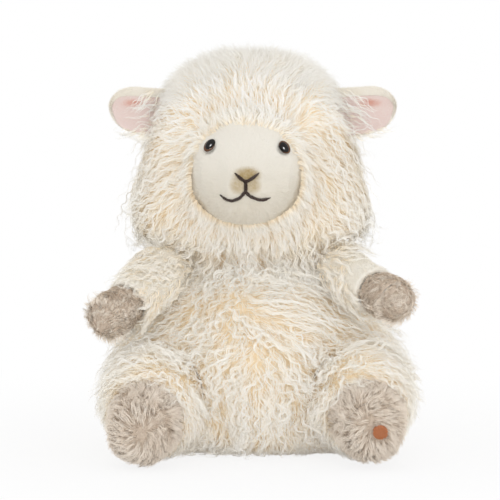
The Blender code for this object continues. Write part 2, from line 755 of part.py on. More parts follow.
def make_tail(torso_pieces):
    """A short woolly tail behind the seat."""
    root = Vector((TORSO_ACROSS, TORSO_HALF_DEPTH + TAIL_PROUD, TAIL_UP_SHARE * TORSO_HEIGHT))
    direction = Vector((0.0, math.cos(TAIL_DROOP), -math.sin(TAIL_DROOP)))
    frame = make_empty("tail_pivot", SHEEP, root, aim(direction, UP))
    rings = sized_rings(TAIL_RING_SHARES, TAIL_LENGTH, TAIL_RADIUS, TAIL_RADIUS)
    cage = ring_cage("tail_cage", rings + round_root(TAIL_ROOT_RADIUS), TAIL_SEGMENTS)
    skin = outer_form("tail_cover", cage, frame, LONG_WOOL)
    mouth = rod_mesh("tail_mouth", TAIL_MOUTH_RADIUS, -TAIL_ROOT_RADIUS - OVERRUN, 0.0)
    cut(skin, inner_form("tail_inside", cage, TAIL_WALL, frame), make_object("tail_mouth", mouth, frame))
    inner_form("tail_stuffing", cage, TAIL_WALL + GAP, frame, FILLING)
    make_socket("tail_socket", frame, TAIL_ROOT_RADIUS, torso_pieces, BALL_SEGMENTS)


def centre_on_origin():
    """Moves the whole toy so that the box round it has its middle over the origin."""
    bpy.context.view_layer.update()
    depsgraph = bpy.context.evaluated_depsgraph_get()
    places = [
        part.matrix_world @ vert.co
        for part in PARTS.objects if part.type != "EMPTY"
        for vert in part.evaluated_get(depsgraph).to_mesh().vertices
    ]
    low = Vector(map(min, zip(*places)))
    high = Vector(map(max, zip(*places)))
    SHEEP.location = Vector((-(low.x + high.x) / 2.0, -(low.y + high.y) / 2.0, 0.0))


torso_pieces = make_torso()
make_pouch(torso_pieces[1])

neck = make_empty("neck_pivot", SHEEP, Vector((0.0, NECK_BACK, NECK_HEIGHT)))
make_neck(neck)
head = make_empty("head_pivot", neck, rotation=Matrix.Rotation(HEAD_TURN, 3, "Z"))
hood, face, head_filling, face_outline = make_head(head)
make_socket("body_neck_socket", neck, NECK_RADIUS, torso_pieces)
make_socket("head_neck_socket", head, NECK_RADIUS, (hood, head_filling))

for side, sign in SIDE_SHARES:
    make_eye(side, sign, head, face_outline, face, head_filling)
    make_ear(side, sign, head, hood, head_filling)
    make_arm(side, sign, torso_pieces)
    leg_frame, leg_cage = make_leg(side, sign, torso_pieces)
    if sign > 0.0:
        make_sole_dot(leg_frame, leg_cage)

make_stitching("nose_stitches", NOSE_PATH_SHARES, head, face_outline)
make_stitching("philtrum_stitches", PHILTRUM_PATH_SHARES, head, face_outline)
make_stitching("mouth_stitches", MOUTH_PATH_SHARES, head, face_outline)
make_tail(torso_pieces)
centre_on_origin()
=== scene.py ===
import math

import bmesh
import bpy
import numpy as np
from mathutils import Matrix, Vector, noise
from mathutils.bvhtree import BVHTree


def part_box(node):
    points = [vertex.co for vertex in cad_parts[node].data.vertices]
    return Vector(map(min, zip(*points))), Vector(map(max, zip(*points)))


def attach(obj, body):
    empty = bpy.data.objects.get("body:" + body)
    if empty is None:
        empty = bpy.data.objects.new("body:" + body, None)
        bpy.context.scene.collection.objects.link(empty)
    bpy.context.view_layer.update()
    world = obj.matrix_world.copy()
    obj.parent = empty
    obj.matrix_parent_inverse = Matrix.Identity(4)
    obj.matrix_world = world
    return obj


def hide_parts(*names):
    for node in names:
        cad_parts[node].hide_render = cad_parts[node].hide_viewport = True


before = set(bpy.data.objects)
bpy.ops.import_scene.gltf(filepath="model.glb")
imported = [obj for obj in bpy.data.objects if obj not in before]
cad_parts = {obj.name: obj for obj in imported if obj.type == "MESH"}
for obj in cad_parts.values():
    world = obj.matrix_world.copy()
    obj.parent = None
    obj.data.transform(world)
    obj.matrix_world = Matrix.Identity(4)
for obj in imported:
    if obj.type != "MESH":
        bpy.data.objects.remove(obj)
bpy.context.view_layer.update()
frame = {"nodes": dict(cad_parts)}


# Filling
# Loose white polyester fibre, blown in by hand through a gap in the back seam of each piece.
# It packs into soft lumps and never shows once the seams are closed.

class Pattern:
    """Something that varies over a surface. Sums and products of it add the shader's maths."""

    def __init__(self, tree, socket=None):
        self.tree = tree
        self.socket = socket

    def node(self, kind, sockets=None, output=0, **settings):
        """A node of any type: its settings first, then the values or links of its sockets."""
        made = self.tree.nodes.new(kind)
        for setting, value in settings.items():
            setattr(made, setting, value)
        for name, value in (sockets or {}).items():
            if isinstance(value, Pattern):
                self.tree.links.new(value.socket, made.inputs[name])
            elif isinstance(value, tuple) and len(value) == 3 and made.inputs[name].type == "RGBA":
                made.inputs[name].default_value = (*value, 1.0)
            else:
                made.inputs[name].default_value = value
        return Pattern(self.tree, made.outputs[output])

    def maths(self, operation, *values):
        return self.node("ShaderNodeMath", dict(enumerate(values)), operation=operation)

    def __add__(self, other):
        return self.maths("ADD", self, other)

    def __radd__(self, other):
        return self.maths("ADD", other, self)

    def __sub__(self, other):
        return self.maths("SUBTRACT", self, other)

    def __rsub__(self, other):
        return self.maths("SUBTRACT", other, self)

    def __mul__(self, other):
        return self.maths("MULTIPLY", self, other)

    def __rmul__(self, other):
        return self.maths("MULTIPLY", other, self)

    def __truediv__(self, other):
        return self.maths("DIVIDE", self, other)

    def within(self, low, high):
        """0 below low, 1 above high, and a smooth rise between."""
        return self.node("ShaderNodeMapRange", {0: self, 1: low, 2: high}, interpolation_type="SMOOTHSTEP")

    def between(self, first, second):
        """The first colour where this is 0 and the second where it is 1."""
        return self.node("ShaderNodeMix", {0: self, 6: first, 7: second}, 2, data_type="RGBA")

    def place(self):
        """Where a point of the piece lies, in metres."""
        return self.node("ShaderNodeTexCoord", output=3)

    def cloud(self, scale, detail=3.0, roughness=0.55):
        """Soft noise, so many spots to a metre."""
        return self.node("ShaderNodeTexNoise", {
            "Vector": self.place(), "Scale": scale, "Detail": detail, "Roughness": roughness})

    def distance_from(self, centre, size):
        """How far a point lies from a centre, where 1 is as far as size in each direction."""
        away = self.node("ShaderNodeVectorMath", {0: self.place(), 1: tuple(centre)}, operation="SUBTRACT")
        scaled = self.node("ShaderNodeVectorMath", {0: away, 1: tuple(size)}, operation="DIVIDE")
        return self.node("ShaderNodeVectorMath", {0: scaled}, 1, operation="LENGTH")


def new_finish(name, **constants):
    """A material, its shader and a start for its patterns. Constants go on the shader's sockets."""
    material = bpy.data.materials.new(name)
    material.use_nodes = True
    shader = material.node_tree.nodes["Principled BSDF"]
    for socket, value in constants.items():
        shader.inputs[socket.replace("_", " ")].default_value = value
    return material, shader, Pattern(material.node_tree)


def dress(shader, **patterns):
    """Links patterns to the shader's sockets by name."""
    for socket, pattern in patterns.items():
        pattern.tree.links.new(pattern.socket, shader.inputs[socket.replace("_", " ")])


def relief(pattern, depth):
    """A normal that raises and lowers the surface by a pattern, to a depth in metres."""
    return pattern.node("ShaderNodeBump", {"Height": pattern, "Distance": depth, "Strength": 1.0})


def clouded_finish(name, dark, pale, scale, detail=3.0, roughness=0.55, depth=0.0, **constants):
    """A finish with soft spots of two colours, raised and lowered with them to a depth."""
    material, shader, pattern = new_finish(name, **constants)
    spots = pattern.cloud(scale, detail, roughness)
    dress(shader, Base_Color=spots.between(dark, pale))
    if depth:
        dress(shader, Normal=relief(spots, depth))
    return material


def with_modifiers(piece, name):
    """A piece with its modifiers made part of its shape."""
    shape = bpy.data.meshes.new_from_object(
        piece.evaluated_get(bpy.context.evaluated_depsgraph_get()))
    piece.modifiers.clear()
    piece.data = shape
    shape.name = name
    shape.materials.clear()
    shape.shade_smooth()
    return piece


def rounded_copy(node, name, grain, rounds=6):
    """A smooth copy of a piece of the frame, with points about a grain apart."""
    piece = bpy.data.objects.new(name, frame["nodes"][node].data.copy())
    bpy.context.scene.collection.objects.link(piece)
    remesh = piece.modifiers.new("Remesh", "REMESH")
    remesh.mode = "VOXEL"
    remesh.voxel_size = grain
    soften = piece.modifiers.new("Soften", "SMOOTH")
    soften.factor = 0.5
    soften.iterations = rounds
    return with_modifiers(piece, name)


def points_of(mesh):
    places = np.empty(len(mesh.vertices) * 3)
    mesh.vertices.foreach_get("co", places)
    return places.reshape(-1, 3)


def normals_of(mesh):
    ways = np.empty(len(mesh.vertices) * 3)
    mesh.vertex_normals.foreach_get("vector", ways)
    return ways.reshape(-1, 3)


def lumpy(piece, depth, size):
    """Pushes a surface in and out by soft noise."""
    places, ways = points_of(piece.data), normals_of(piece.data)
    lumps = np.array([noise.noise(Vector(place) / size) for place in places])
    places += ways * (depth * lumps)[:, None]
    places[:, 2] = np.maximum(places[:, 2], 0.0)
    piece.data.vertices.foreach_set("co", places.ravel())
    piece.data.update()
    return piece


def fit(piece, material, body, slot, *nodes, fill=None):
    """Gives a piece its finish, the body it moves with and the solids it stands for."""
    piece.data.materials.append(material)
    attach(piece, body)
    if nodes:
        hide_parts(*nodes)
    return piece


FILLING = clouded_finish("polyester_filling", (0.86, 0.86, 0.84), (0.97, 0.97, 0.96), 900.0, 4.0, 0.7,
                         depth=0.0008, Roughness=0.95)
FILLED = {
    "torso": "torso", "neck": "neck", "head": "head", "tail": "tail",
    "arm_left": "arm", "arm_right": "arm", "leg_left": "leg", "leg_right": "leg",
}
for body, part in FILLED.items():
    node = body.replace(part, part + "_stuffing")
    wad = lumpy(rounded_copy(node, part + "_filling" + body.replace(part, ""), 0.004), 0.0012, 0.02)
    fit(wad, FILLING, body, "filling", node, fill=0.8)


# Bean bag
# A small bag of thin cotton with plastic pellets, tucked into the seat before the filling.
# Its weight keeps the sheep upright.

BAG_CLOTH, bag_shader, bag = new_finish("bag_cotton", Roughness=0.85)
warp = bag.node("ShaderNodeTexWave", {"Vector": bag.place(), "Scale": 320.0, "Distortion": 0.4})
dress(
    bag_shader,
    Base_Color=bag.cloud(60.0).between((0.74, 0.74, 0.73), (0.84, 0.84, 0.83)),
    Normal=relief(warp, 0.0002))
fit(lumpy(rounded_copy("pellet_pouch", "bean_bag", 0.0012, 2), 0.0003, 0.012),
    BAG_CLOTH, "torso", "pouch_cloth", "pellet_pouch", fill=0.7)

PELLETS, pellet_shader, pellet = new_finish("moulded_pellets", Roughness=0.4)
beads = pellet.node("ShaderNodeTexVoronoi", {"Vector": pellet.place(), "Scale": 320.0})
dress(
    pellet_shader,
    Base_Color=beads.between((0.74, 0.77, 0.80), (0.50, 0.53, 0.56)),
    Normal=relief(1.0 - beads, 0.0015))
fit(lumpy(rounded_copy("pellet_fill", "bean_pellets", 0.002), 0.0008, 0.004),
    PELLETS, "torso", "pellets", "pellet_fill")


# Body wool
# Long curly pile on a knitted backing, cream at the tips and tan at the roots, a tan that is partly
# painted shade down in the gaps. It is sewn into a pear-shaped body, and the pile falls in wavy
# locks down and outwards from the chest.

# Painted light: the backing glows faintly warm, standing for light carried through the wool, and its tan
# is partly painted shade in the gaps between the locks.
WOOL_BACKING = clouded_finish("wool_backing", (0.90, 0.70, 0.43), (0.96, 0.86, 0.67), 260.0, 5.0, 0.7,
                              depth=0.002, Roughness=0.95, Emission_Color=(1.0, 0.74, 0.46, 1.0),
                              Emission_Strength=0.06)


def wool_finish(name, warm_lock, cream_lock, white_lock, glow):
    """Wool whose strands run from warm to white, each given as its colours at root and tip, with a painted
    glow.
    """
    material, shader, wool = new_finish(
        name, Roughness=0.75, Specular_IOR_Level=0.2, Emission_Strength=0.065)
    strand = wool.node("ShaderNodeUVMap", uv_map="OFBake")
    across = wool.node("ShaderNodeSeparateXYZ", {0: strand}, 0)
    along = wool.node("ShaderNodeSeparateXYZ", {0: strand}, 1)
    # The warmer, darker roots are partly painted shade deep in the coat.
    warm = along.within(0.0, 0.6).between(*warm_lock)
    cream = along.within(0.0, 0.5).between(*cream_lock)
    white = along.within(0.0, 0.4).between(*white_lock)
    # Painted light: the strands glow faintly, warm at the root and grey at the tip, standing for light
    # carried through the wool.
    dress(
        shader,
        Base_Color=across.within(0.75, 1.0).between(across.within(0.0, 0.8).between(warm, cream), white),
        Emission_Color=along.within(0.0, 0.6).between(*glow))
    return material


# The last pair of colours is the painted glow, warm at the roots.
WOOL = wool_finish(
    "wool_locks", ((0.90, 0.73, 0.50), (0.965, 0.90, 0.78)), ((0.955, 0.88, 0.73), (0.97, 0.95, 0.895)),
    ((0.97, 0.94, 0.86), (0.985, 0.98, 0.965)), ((1.0, 0.80, 0.56), (0.48, 0.47, 0.46)))


def shapes_of(nodes):
    """The points and the faces of some solids of the frame."""
    places, faces = [], []
    for node in nodes:
        mesh = frame["nodes"][node].data
        start = len(places)
        places.extend(vert.co.copy() for vert in mesh.vertices)
        faces.extend([start + index for index in face.vertices] for face in mesh.polygons)
    return places, faces


def tree_of(nodes):
    """The surfaces of some solids of the frame, for finding the nearest point or what a ray hits."""
    return BVHTree.FromPolygons(*shapes_of(nodes))


def surface_of(mesh):
    """The same for a finished mesh."""
    return BVHTree.FromPolygons(points_of(mesh).tolist(), [face.vertices[:] for face in mesh.polygons])


def new_piece(name, places, faces, weld=0.0, turn_out=True):
    """A smooth piece from points and faces, with points nearer than weld merged."""
    mesh = bpy.data.meshes.new(name)
    mesh.from_pydata(places, [], faces)
    shape = bmesh.new()
    shape.from_mesh(mesh)
    if weld:
        bmesh.ops.remove_doubles(shape, verts=shape.verts, dist=weld)
    if turn_out:
        bmesh.ops.recalc_face_normals(shape, faces=shape.faces)
    shape.to_mesh(mesh)
    shape.free()
    mesh.shade_smooth()
    piece = bpy.data.objects.new(name, mesh)
    bpy.context.scene.collection.objects.link(piece)
    return piece


def sides_of(rings, corners, start=0):
    """The faces between rings of points that follow one another."""
    return [
        (a, b, b + corners, a + corners)
        for ring in range(rings - 1) for corner in range(corners)
        for a, b in [(start + ring * corners + corner, start + ring * corners + (corner + 1) % corners)]]


def ends_of(rings, corners, start=0):
    """The faces that close the first and the last of those rings."""
    last = start + rings * corners - 1
    return [tuple(start + corner for corner in range(corners)),
            tuple(last - corner for corner in range(corners))]


SEED = 11
LOCKS_APART = 0.0056
UNDERCOAT_APART = 0.0030
EVERY_PIECE = tree_of(frame["nodes"])
FACE_SURFACE = tree_of(["face_panel"])
BARE_PIECES = tree_of([
    name for name in frame["nodes"]
    if name.startswith(("face_panel", "ear_back", "arm_sleeve", "paw_", "foot_cover", "sole_panel"))])
CHANCE = np.random.default_rng(SEED)
noise.seed_set(SEED)


def spread_roots(mesh, spacing, open_to=0.003):
    """Points about a spacing apart on the outside of a mesh, each with the way out of it."""
    mesh.calc_loop_triangles()
    vertices = points_of(mesh)
    corners = vertices[np.array([triangle.vertices[:] for triangle in mesh.loop_triangles])]
    own = surface_of(mesh)
    ways = np.cross(corners[:, 1] - corners[:, 0], corners[:, 2] - corners[:, 0])
    areas = np.linalg.norm(ways, axis=1) / 2.0
    tries = int(areas.sum() / spacing ** 2 * 5.0)
    faces = CHANCE.choice(len(areas), tries, p=areas / areas.sum())
    a, b = np.sqrt(CHANCE.random(tries)), CHANCE.random(tries)
    shares = np.stack((1.0 - a, a * (1.0 - b), a * b), axis=1)
    places = (corners[faces] * shares[:, :, None]).sum(axis=1)
    ways = ways[faces] / np.linalg.norm(ways[faces], axis=1)[:, None]

    taken = {}
    roots = []
    for place, way in zip(places.tolist(), ways.tolist()):
        x, y, z = place
        i, j, k = int(x // spacing), int(y // spacing), int(z // spacing)
        crowded = False
        for near in ((i + a, j + b, k + c) for a in (-1, 0, 1) for b in (-1, 0, 1) for c in (-1, 0, 1)):
            other = taken.get(near)
            if other and (x - other[0]) ** 2 + (y - other[1]) ** 2 + (z - other[2]) ** 2 < spacing ** 2:
                crowded = True
                break
        if crowded or (i, j, k) in taken:
            continue
        point, out = Vector(place), Vector(way)
        start = point + out * 0.0002
        if own.ray_cast(start, out, 0.3)[0] or (open_to and EVERY_PIECE.ray_cast(start, out, open_to)[0]):
            continue
        taken[i, j, k] = place
        roots.append((point, out))
    return roots


def roots_on(node, spacing, keep=None):
    """The roots of a coat on a solid of the frame, or on the part of it that a rule keeps."""
    roots = spread_roots(frame["nodes"][node].data, spacing)
    return [(root, out) for root, out in roots if not keep or keep(root)]


def draped(nodes, gap, grain):
    """One smooth surface over some solids, with the notches between them filled."""
    cover = new_piece("drape", *shapes_of(nodes), turn_out=False)
    mesh = cover.data
    for name, kind, settings in (
            ("Fuse", "REMESH", {"mode": "VOXEL", "voxel_size": grain}),
            ("Swell", "DISPLACE", {"strength": gap, "mid_level": 0.0}),
            ("Join", "REMESH", {"mode": "VOXEL", "voxel_size": grain}),
            ("Even", "SMOOTH", {"iterations": 8}),
            ("Shrink", "DISPLACE", {"strength": 0.002 - gap, "mid_level": 0.0}),
            ("Soften", "SMOOTH", {"iterations": 6})):
        modifier = cover.modifiers.new(name, kind)
        for setting, value in settings.items():
            setattr(modifier, setting, value)
    surface = BVHTree.FromObject(cover, bpy.context.evaluated_depsgraph_get())
    bpy.data.objects.remove(cover)
    bpy.data.meshes.remove(mesh)
    return surface


torso_low, torso_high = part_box("torso_cover")
TORSO_MIDDLE = (torso_low + torso_high) / 2.0
WOOLLY = ("torso", "neck", "head", "face", "leg_cover", "leg_stuffing", "tail")
DRAPE = draped([name for name in frame["nodes"] if name.startswith(WOOLLY)], 0.018, 0.004)


def at(root, value):
    """A number, or what a rule gives for a place."""
    return value(root) if callable(value) else value


SUNK = 0.0008
STIFF = 0.45
LOWEST = 0.0010


def comb(roots, ground, flow, length, lift, steps=14, clear=0.0012, flare=0.35):
    """Walks the middle line of a lock from each root: out of the skin, then along the flow.

    Roots are sunk a little, and no lock goes below the lowest height over the floor. It gives the
    lines and, along them, the way out of the surface under each point.
    """
    lines, outs = [], []
    for root, out in roots:
        step = at(root, length) / (steps - 1)
        high = at(root, lift)
        drift = noise.noise_vector(root / 0.022)
        loose = abs(CHANCE.normal(0.0, flare))
        bias = Vector(CHANCE.normal(0.0, 0.22, 3))
        place = root - out * SUNK
        heading = out.copy()
        line, ways = [place.copy()], [out.copy()]
        for index in range(1, steps):
            share = index / (steps - 1)
            near, normal, _, _ = ground.find_nearest(place)
            height = (place - near).dot(normal)
            way = flow(place, normal, drift) + bias
            way -= normal * way.dot(normal)
            if way.length > 0.0:
                way.normalize()
            want = high * share ** 0.6 * (1.0 + loose * share)
            rise = max(-0.7, min(1.2, (want - height) / (3.0 * step)))
            turned = (way + normal * rise).normalized()
            heading = (heading * STIFF + turned * (1.0 - STIFF)).normalized()
            place = place + heading * step
            bare, away, _, _ = BARE_PIECES.find_nearest(place, 0.006)
            if bare:
                inside = clear - (place - bare).dot(away)
                if inside > 0.0:
                    place += away * inside
            place.z = max(place.z, LOWEST)
            line.append(place.copy())
            ways.append(normal.copy())
        lines.append(line)
        outs.append(ways)
    return np.array(lines), np.array(outs)


def gathered(lines, apart, pull):
    """Leans neighbouring locks together towards their tips, so that they part in tufts."""
    roots = lines[:, 0]
    leaders = []
    for index, root in enumerate(roots):
        if all(((root - roots[other]) ** 2).sum() > apart ** 2 for other in leaders):
            leaders.append(index)
    leaders = np.array(leaders)
    nearest = leaders[((roots[:, None] - roots[leaders][None]) ** 2).sum(axis=2).argmin(axis=1)]
    share = np.linspace(0.0, 1.0, lines.shape[1])[None, :, None] ** 1.3
    return lines + (lines[nearest] - lines) * share * np.asarray(pull).reshape(-1, 1, 1)


def along_lines(lines, shares):
    """Points at shares of the way along each line, with shares as (line, point)."""
    last = lines.shape[1] - 1
    spots = np.clip(shares * last, 0.0, last - 0.0001)
    low = spots.astype(int)
    rest = (spots - low)[..., None]
    row = np.arange(len(lines))[:, None]
    return lines[row, low] * (1.0 - rest) + lines[row, low + 1] * rest


def strands_from(lines, outs, count, points, spread, clump, wave, length_of_wave, width,
                 stray=0.08, thin=0.75):
    """Splits each lock into wavy strands that start apart and draw together towards the tip.

    It gives the strands' middle lines, the ways that they are broad and their widths.
    """
    locks = len(lines)
    total = locks * count
    lock = np.repeat(np.arange(locks), count)
    reach = CHANCE.uniform(0.72, 1.0, total)
    loose = CHANCE.random(total) < stray
    shares = np.linspace(0.0, 1.0, points)[None, :] * reach[:, None]
    middle = along_lines(lines[lock], shares)
    out = along_lines(outs[lock], shares)
    round_about = middle - np.array([TORSO_MIDDLE.x, TORSO_MIDDLE.y, 0.0])
    round_about[..., 2] = 0.0
    out = out + 0.8 * round_about / np.linalg.norm(round_about, axis=2, keepdims=True)
    out /= np.linalg.norm(out, axis=2, keepdims=True)
    run = np.gradient(middle, axis=1)
    sizes = np.linalg.norm(run, axis=2, keepdims=True)
    travelled = np.cumsum(sizes[..., 0], axis=1) - sizes[:, :1, 0]
    run /= np.maximum(sizes, 1e-9)
    side = np.cross(run, out)
    side /= np.maximum(np.linalg.norm(side, axis=2, keepdims=True), 1e-9)
    out = np.cross(side, run)

    angle = CHANCE.uniform(0.0, math.tau, total)
    away = spread * np.sqrt(CHANCE.random(total)) * np.where(loose, 1.5, 1.0)
    gather = 1.0 - clump * np.minimum(1.0, shares / 0.6) ** 0.8
    gather = np.where(loose[:, None], 1.0, gather) * away[:, None]
    turn = CHANCE.uniform(0.0, math.tau, locks)[lock] + CHANCE.normal(0.0, 0.3, total)
    turn = np.where(loose, CHANCE.uniform(0.0, math.tau, total), turn)
    period = (length_of_wave * CHANCE.uniform(0.75, 1.3, locks))[lock] * CHANCE.uniform(0.97, 1.03, total)
    swing = (wave * CHANCE.uniform(0.6, 1.35, locks))[lock] * CHANCE.uniform(0.85, 1.2, total)
    grow = np.minimum(1.0, shares / 0.3) * (0.75 + 0.5 * shares)
    phase = math.tau * travelled / period[:, None] + turn[:, None]
    lean = CHANCE.uniform(0.2, 1.0, locks)[lock][:, None]
    sideways = np.cos(angle)[:, None] * gather + swing[:, None] * grow * np.sin(phase)
    upwards = 0.4 * np.sin(angle)[:, None] * gather * np.minimum(1.0, shares / 0.2)
    upwards = upwards + lean * swing[:, None] * grow * np.cos(phase) * 0.6
    centre = middle + side * sideways[..., None] + out * upwards[..., None]
    centre[..., 2] = np.maximum(centre[..., 2], 0.0006)

    roll = np.clip(CHANCE.normal(0.0, 0.35, total), -0.8, 0.8)[:, None]
    flat = side * np.cos(roll)[..., None] + out * np.sin(roll)[..., None]
    taper = 1.0 - thin * np.linspace(0.0, 1.0, points) ** 1.6
    broad = width * CHANCE.uniform(0.7, 1.3, total)[:, None] * taper
    return centre, flat, broad


MOST_QUADS = 95000


def strand_pieces(name, strands, shade, material, body, slot, chart_rows=None):
    """Makes flat tapered strands, in as many pieces as their number needs.

    Their chart runs from dark to pale and from root to tip, unless each strand has a spot of its
    own on a chart.
    """
    centre, flat, broad = strands
    total, points = centre.shape[:2]
    each = MOST_QUADS // (points - 1)
    for number, start in enumerate(range(0, total, each)):
        stop = min(total, start + each)
        rows = stop - start
        half = flat[start:stop] * (broad[start:stop] / 2.0)[..., None]
        places = np.stack((centre[start:stop] - half, centre[start:stop] + half), axis=2)
        base = (np.arange(rows)[:, None] * points + np.arange(points - 1)[None, :]) * 2
        quads = np.stack((base, base + 1, base + 3, base + 2), axis=2).reshape(-1)
        mesh = bpy.data.meshes.new(name)
        mesh.vertices.add(rows * points * 2)
        mesh.vertices.foreach_set("co", places.ravel())
        mesh.loops.add(len(quads))
        mesh.loops.foreach_set("vertex_index", quads.astype(np.int32))
        mesh.polygons.add(len(quads) // 4)
        mesh.polygons.foreach_set("loop_start", np.arange(0, len(quads), 4, dtype=np.int32))
        spot = np.empty((rows, points, 2, 2))
        spot[..., 0] = shade[start:stop, None, None] * 0.96 + np.array([0.0, 0.04])[None, None, :]
        spot[..., 1] = np.linspace(0.005, 0.995, points)[None, :, None]
        if chart_rows is not None:
            spot[:] = chart_rows[start:stop, None, None, :]
        chart = mesh.uv_layers.new(name="OFBake")
        chart.uv.foreach_set("vector", spot.reshape(-1, 2)[quads].ravel())
        mesh.update(calc_edges=True)
        piece = bpy.data.objects.new(f"{name}_{number + 1}", mesh)
        bpy.context.scene.collection.objects.link(piece)
        fit(piece, material, body, slot)


def clamped(value):
    """The nearest number from 0 to 1."""
    return max(0.0, min(1.0, value))


def ridge(root, size=0.016):
    """1 on the ridges of the tufts and -1 in the valleys between them."""
    return max(-1.0, min(1.0, 1.7 * noise.noise(root / size)))


def closeness(place, surface, reach):
    """1 on a surface, 0 from a distance on."""
    return 1.0 - min(1.0, (place - surface.find_nearest(place)[0]).length / reach)


def lock_shades(roots, count, size=0.016, low=0.3, high=0.95, chance=0.2, ground=DRAPE):
    """How pale each strand is: random patches of paler and warmer locks, paler towards the crown, and
    painted shade in the tufts' valleys, the notches and beside the bare pieces.
    """
    # Painted shade: strands darker and warmer in the valleys between tufts, in the notches where a root
    # lies deep under the drape, and near the bare plush, fur and face.
    patch = np.array([
        0.60 + 0.26 * ridge(root, size)
        - 9.0 * min(0.014, (root - ground.find_nearest(root)[0]).length)
        - 0.30 * closeness(root, BARE_PIECES, 0.010)
        + 0.40 * clamped((root.z - 0.205) / 0.035)
        for root, _ in roots])
    shades = np.repeat(patch, count) + CHANCE.normal(0.0, chance, len(roots) * count)
    return np.clip(low + (high - low) * shades, 0.02, 0.98)


def add_wool(name, roots, body, flow, length, lift, count=10, points=18, wave=0.0017,
             length_of_wave=0.0110, width=0.00038, spread=0.0034, clump=0.80, flare=0.45,
             low=0.3, high=0.85, ground=DRAPE, apart=0.022, pull=0.62, clear=0.0012, finish=WOOL):
    """Grows a coat of wavy locks from some roots."""
    lines, outs = comb(roots, ground, flow, length, lift, flare=flare, clear=clear)
    lines = gathered(lines, apart, [at(root, pull) for root, _ in roots])
    waves = np.array([at(root, wave) for root, _ in roots])
    strands = strands_from(lines, outs, count, points, spread, clump, waves, length_of_wave, width)
    shades = lock_shades(roots, count, low=low, high=high, ground=ground, chance=0.18)
    strand_pieces(name, strands, shades, finish, body, "long_wool")


def add_undercoat(name, roots, body, flow, count=4, length=0.015, lift=0.0045, low=0.1, high=0.8,
                  ground=DRAPE, finish=WOOL):
    """Grows the finer, straighter wool that fills the gaps between the locks."""
    lines, outs = comb(roots, ground, flow, length, lift, steps=7)
    strands = strands_from(lines, outs, count, 7, 0.0022, 0.3, 0.0006, 0.008, 0.0005, stray=0.3)
    shades = lock_shades(roots, count, 0.016, low, high, ground=ground)
    strand_pieces(name, strands, shades, finish, body, "long_wool")


def brushed(strokes, low, high):
    """The way that wool was brushed at each place, from strokes across and up the front of a piece."""
    def way(place):
        across = (place.x - low.x) / (high.x - low.x)
        up = (place.z - low.z) / (high.z - low.z)
        total = Vector()
        for (right, rise), (to_right, to_top) in strokes:
            near = 1.0 / ((across - right) ** 2 + (up - rise) ** 2 + 0.002) ** 2
            total += Vector((to_right, 0.0, to_top)) * near
        return total.normalized()
    return way


BODY_STROKES = (
    ((0.27, 0.92), (-0.40, -0.92)), ((0.35, 0.77), (-0.35, -0.94)), ((0.13, 0.52), (-0.70, -0.70)),
    ((0.22, 0.72), (-0.55, -0.83)), ((0.30, 0.50), (-0.30, -0.95)),
    ((0.44, 0.37), (-0.05, -1.00)), ((0.65, 0.37), (0.45, -0.90)),
    ((0.54, 0.87), (0.95, -0.15)), ((0.68, 0.90), (0.90, -0.40)), ((0.77, 0.75), (0.60, -0.80)),
    ((0.80, 0.54), (0.25, -0.95)), ((0.63, 0.62), (0.60, -0.70)), ((0.47, 0.62), (0.10, -0.95)),
    ((0.30, 0.12), (-0.15, -1.00)), ((0.47, 0.12), (0.00, -1.00)), ((0.65, 0.12), (0.30, -0.95)),
)
body_brush = brushed(BODY_STROKES, torso_low, torso_high)


def front_share(place, middle, depth):
    """1 on the front of a piece, 0 on its back."""
    return clamped(0.5 + (middle - place.y) / depth)


def body_fall(place, normal, drift):
    front = front_share(place, TORSO_MIDDLE.y, 0.06)
    behind = Vector(((place.x - TORSO_MIDDLE.x) * 8.0, 0.1, -1.0)).normalized()
    return body_brush(place) * front + behind * (1.0 - front) + drift * 0.75


def body_length(root):
    long = 0.035 + 0.009 * noise.noise(root / 0.03)
    return long * (0.45 if root.z < 0.012 else 1.0)


def bump(away, reach):
    """1 in the middle and 0 well beyond a reach."""
    return math.exp(-(away / reach) ** 2)


def high_on_chest(root):
    """1 at the top of the chest, where the wool stands out as far as the jaw's."""
    return clamped((root.z - 0.112) / 0.02) * front_share(root, TORSO_MIDDLE.y, 0.06)


def on_right_flank(root):
    """1 high on the right flank, where the wool fills out behind the arm."""
    across = (root.x - torso_low.x) / (torso_high.x - torso_low.x)
    return clamped((across - 0.80) / 0.12) * bump(root.z - 0.075, 0.030)


def body_lift(root):
    return ((0.0085 if root.z > 0.02 else 0.003) * (1.0 + 0.55 * ridge(root))
            + 0.007 * high_on_chest(root) + 0.006 * on_right_flank(root))


def above_floor(root):
    return root.z > 0.003


def brushed_out(root):
    """1 where the chest's curls are brushed out, 0 elsewhere."""
    across = (root.x - torso_low.x) / (torso_high.x - torso_low.x)
    up = root.z / torso_high.z
    inside = 1.0 - ((across - 0.62) / 0.20) ** 2 - ((up - 0.80) / 0.22) ** 2
    return clamped(2.0 * inside) * front_share(root, TORSO_MIDDLE.y, 0.06)


def body_wave(root):
    return 0.0019 - 0.0014 * brushed_out(root)


def wool_backing(node, name, body, grain, depth=0.0012, size=0.009, fill=0.85):
    """The knitted backing of a coat of wool, with the soft lumps of the filling behind it."""
    backing = lumpy(rounded_copy(node, name, grain), depth, size)
    fit(backing, WOOL_BACKING, body, "long_wool", node, fill=fill)


